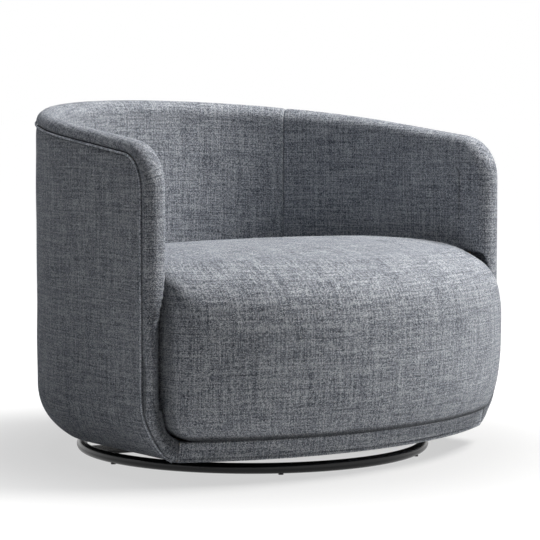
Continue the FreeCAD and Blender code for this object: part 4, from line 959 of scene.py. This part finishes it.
def smooth_path(knots, step):
    """A smooth path through knots, as Hermite spans with even steps along each."""
    gaps = np.linalg.norm(np.diff(knots, axis=0), axis=1)[:, None]
    slopes = np.diff(knots, axis=0) / gaps
    inner = (slopes[:-1] * gaps[1:] + slopes[1:] * gaps[:-1]) / (gaps[1:] + gaps[:-1])
    tangents = np.concatenate([slopes[:1], inner, slopes[-1:]])
    rows = [knots[:1]]
    for i, gap in enumerate(gaps[:, 0]):
        t = np.linspace(0, 1, max(2, int(round(gap / step))) + 1)[1:, None]
        rows.append((2 * t ** 3 - 3 * t ** 2 + 1) * knots[i] + (t ** 3 - 2 * t ** 2 + t) * gap * tangents[i]
                    + (3 * t ** 2 - 2 * t ** 3) * knots[i + 1] + (t ** 3 - t ** 2) * gap * tangents[i + 1])
    return np.concatenate(rows)


def arc_points(centre, radius, start, end, count):
    """Places on an arc in plan, from its start angle to its end angle."""
    turn = np.linspace(start, end, count)[:, None]
    return centre + radius * np.concatenate([np.cos(turn), np.sin(turn)], axis=1)


def seat_ring(front_inset, side_inset):
    """The seat's plan at one level, from the middle of the front round by the right side."""
    out = np.array([arm_cos, arm_sin])
    forward = np.array([arm_sin, -arm_cos])
    side_radius = shell_radius - seat_gap - side_inset
    front_radius = seat_front_radius - front_inset
    front_centre = np.array([0, seat_front_radius - seat_front])
    base = out * (side_radius - seat_corner) - front_centre
    half = base @ forward
    run = math.sqrt(half ** 2 - base @ base + (front_radius - seat_corner) ** 2) - half
    centre = out * (side_radius - seat_corner) + forward * run
    to_corner = math.atan2(*(centre - front_centre)[::-1])
    straight = np.linspace(1, 0, 40)[1:-1, None] * run * forward + out * side_radius
    right = np.concatenate([
        arc_points(front_centre, front_radius, -math.pi / 2, to_corner, 60),
        arc_points(centre, seat_corner, to_corner, arm_splay, 16)[1:],
        straight,
        arc_points(np.zeros(2), side_radius, arm_splay, math.pi / 2, 70)])
    return np.concatenate([right, right[-2:0:-1] * (-1, 1)])


def close_map(mesh, last, step):
    """Carries the cloth map on by a step across the faces where the ring closes."""
    layer = mesh.uv_layers["cloth"]
    uv = np.empty(len(mesh.loops) * 2, np.float32)
    layer.data.foreach_get("uv", uv)
    uv = uv.reshape(-1, 2)
    for face in mesh.polygons:
        if face.loop_total == 4:
            corners = uv[face.loop_start:face.loop_start + 4, 0]
            if corners.max() - corners.min() > last / 2:
                corners[corners < last / 2] += last + step
    layer.data.foreach_set("uv", uv.ravel())


rise = seat_high - seat_low
path = smooth_path(seat_shares * (rise, seat_span, seat_span), 0.008)
rings = [seat_ring(front_in, side_in) for _, front_in, side_in in path]
heights = [seat_low + height for height, _, _ in path]
widest = np.concatenate([rings[len(rings) // 3], rings[len(rings) // 3][:1]])
around = np.r_[0, np.cumsum(np.linalg.norm(np.diff(widest, axis=0), axis=1))][:-1]
closing_step = float(np.linalg.norm(widest[-1] - widest[-2]))
middle = np.array([0, np.mean(rings[-1][:, 1])])
crown = 0.003
for share in np.linspace(1, 0, 26)[1:-1]:
    rings.append(middle + (rings[len(path) - 1] - middle) * share)
    heights.append(seat_high + crown * (1 - share ** 2))
below = [middle + (rings[0] - middle) * share for share in (0.1, 0.4, 0.7, 0.9, 0.97)]
plans = np.stack(below + rings)
levels = np.array([seat_low] * len(below) + heights)
seat_places = np.concatenate([plans, np.broadcast_to(levels[:, None, None], plans.shape[:2] + (1,))], axis=2)
sag = sag_depth * np.clip((seat_places[..., 1] + sag_start) / sag_reach, 0, sag_most) ** sag_power
seat_places[..., 2] -= sag * soft_step(levels, *sag_levels)[:, None]
path_up = np.r_[0, np.cumsum(np.linalg.norm(np.diff(seat_places, axis=0), axis=2).mean(axis=1))]
side_map = np.stack(np.broadcast_arrays(around[None], path_up[:, None]), axis=-1)
number = np.arange(seat_places[..., 0].size).reshape(seat_places.shape[:2])
after = np.roll(number, -1, axis=1)
bands = np.stack([number[:-1], after[:-1], after[1:], number[1:]], axis=-1).reshape(-1, 4)
foot, crest = number.size, number.size + 1
fans = [(foot, b, a) for a, b in zip(number[0], after[0])]
fans += [(crest, a, b) for a, b in zip(number[-1], after[-1])]
centres = np.array([(*middle, seat_low), (*middle, seat_high + crown)])
points = np.concatenate([seat_places.reshape(-1, 3), centres])
over_share = np.interp(path_up, path_up[len(below)] + top_map_reach, [0, 1])
over = np.r_[np.repeat(over_share, len(around)), 0, 1]
# Painted shade along the seat's lowest rows, where it meets the rail.
foot_painted_shade = np.interp(points[:, 2], seat_low + foot_rows, [painted_seam_shade, 0])
seat_map = np.concatenate([side_map.reshape(-1, 2), centres[:, :2]])
seat_piece = cloth_piece(
    "seat_cloth", points, list(bands) + fans, {"cloth": seat_map, "cloth_top": points[:, :2] + (0, 0.76)},
    fabric_material("seat fabric", two_ways=True), attributes={"top_share": over, "painted_shade_and_highlight": foot_painted_shade})
close_map(seat_piece.data, around[-1], closing_step)
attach(seat_piece, "chair")
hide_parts("seat_cover", "seat_border_foam", "seat_foam_core")
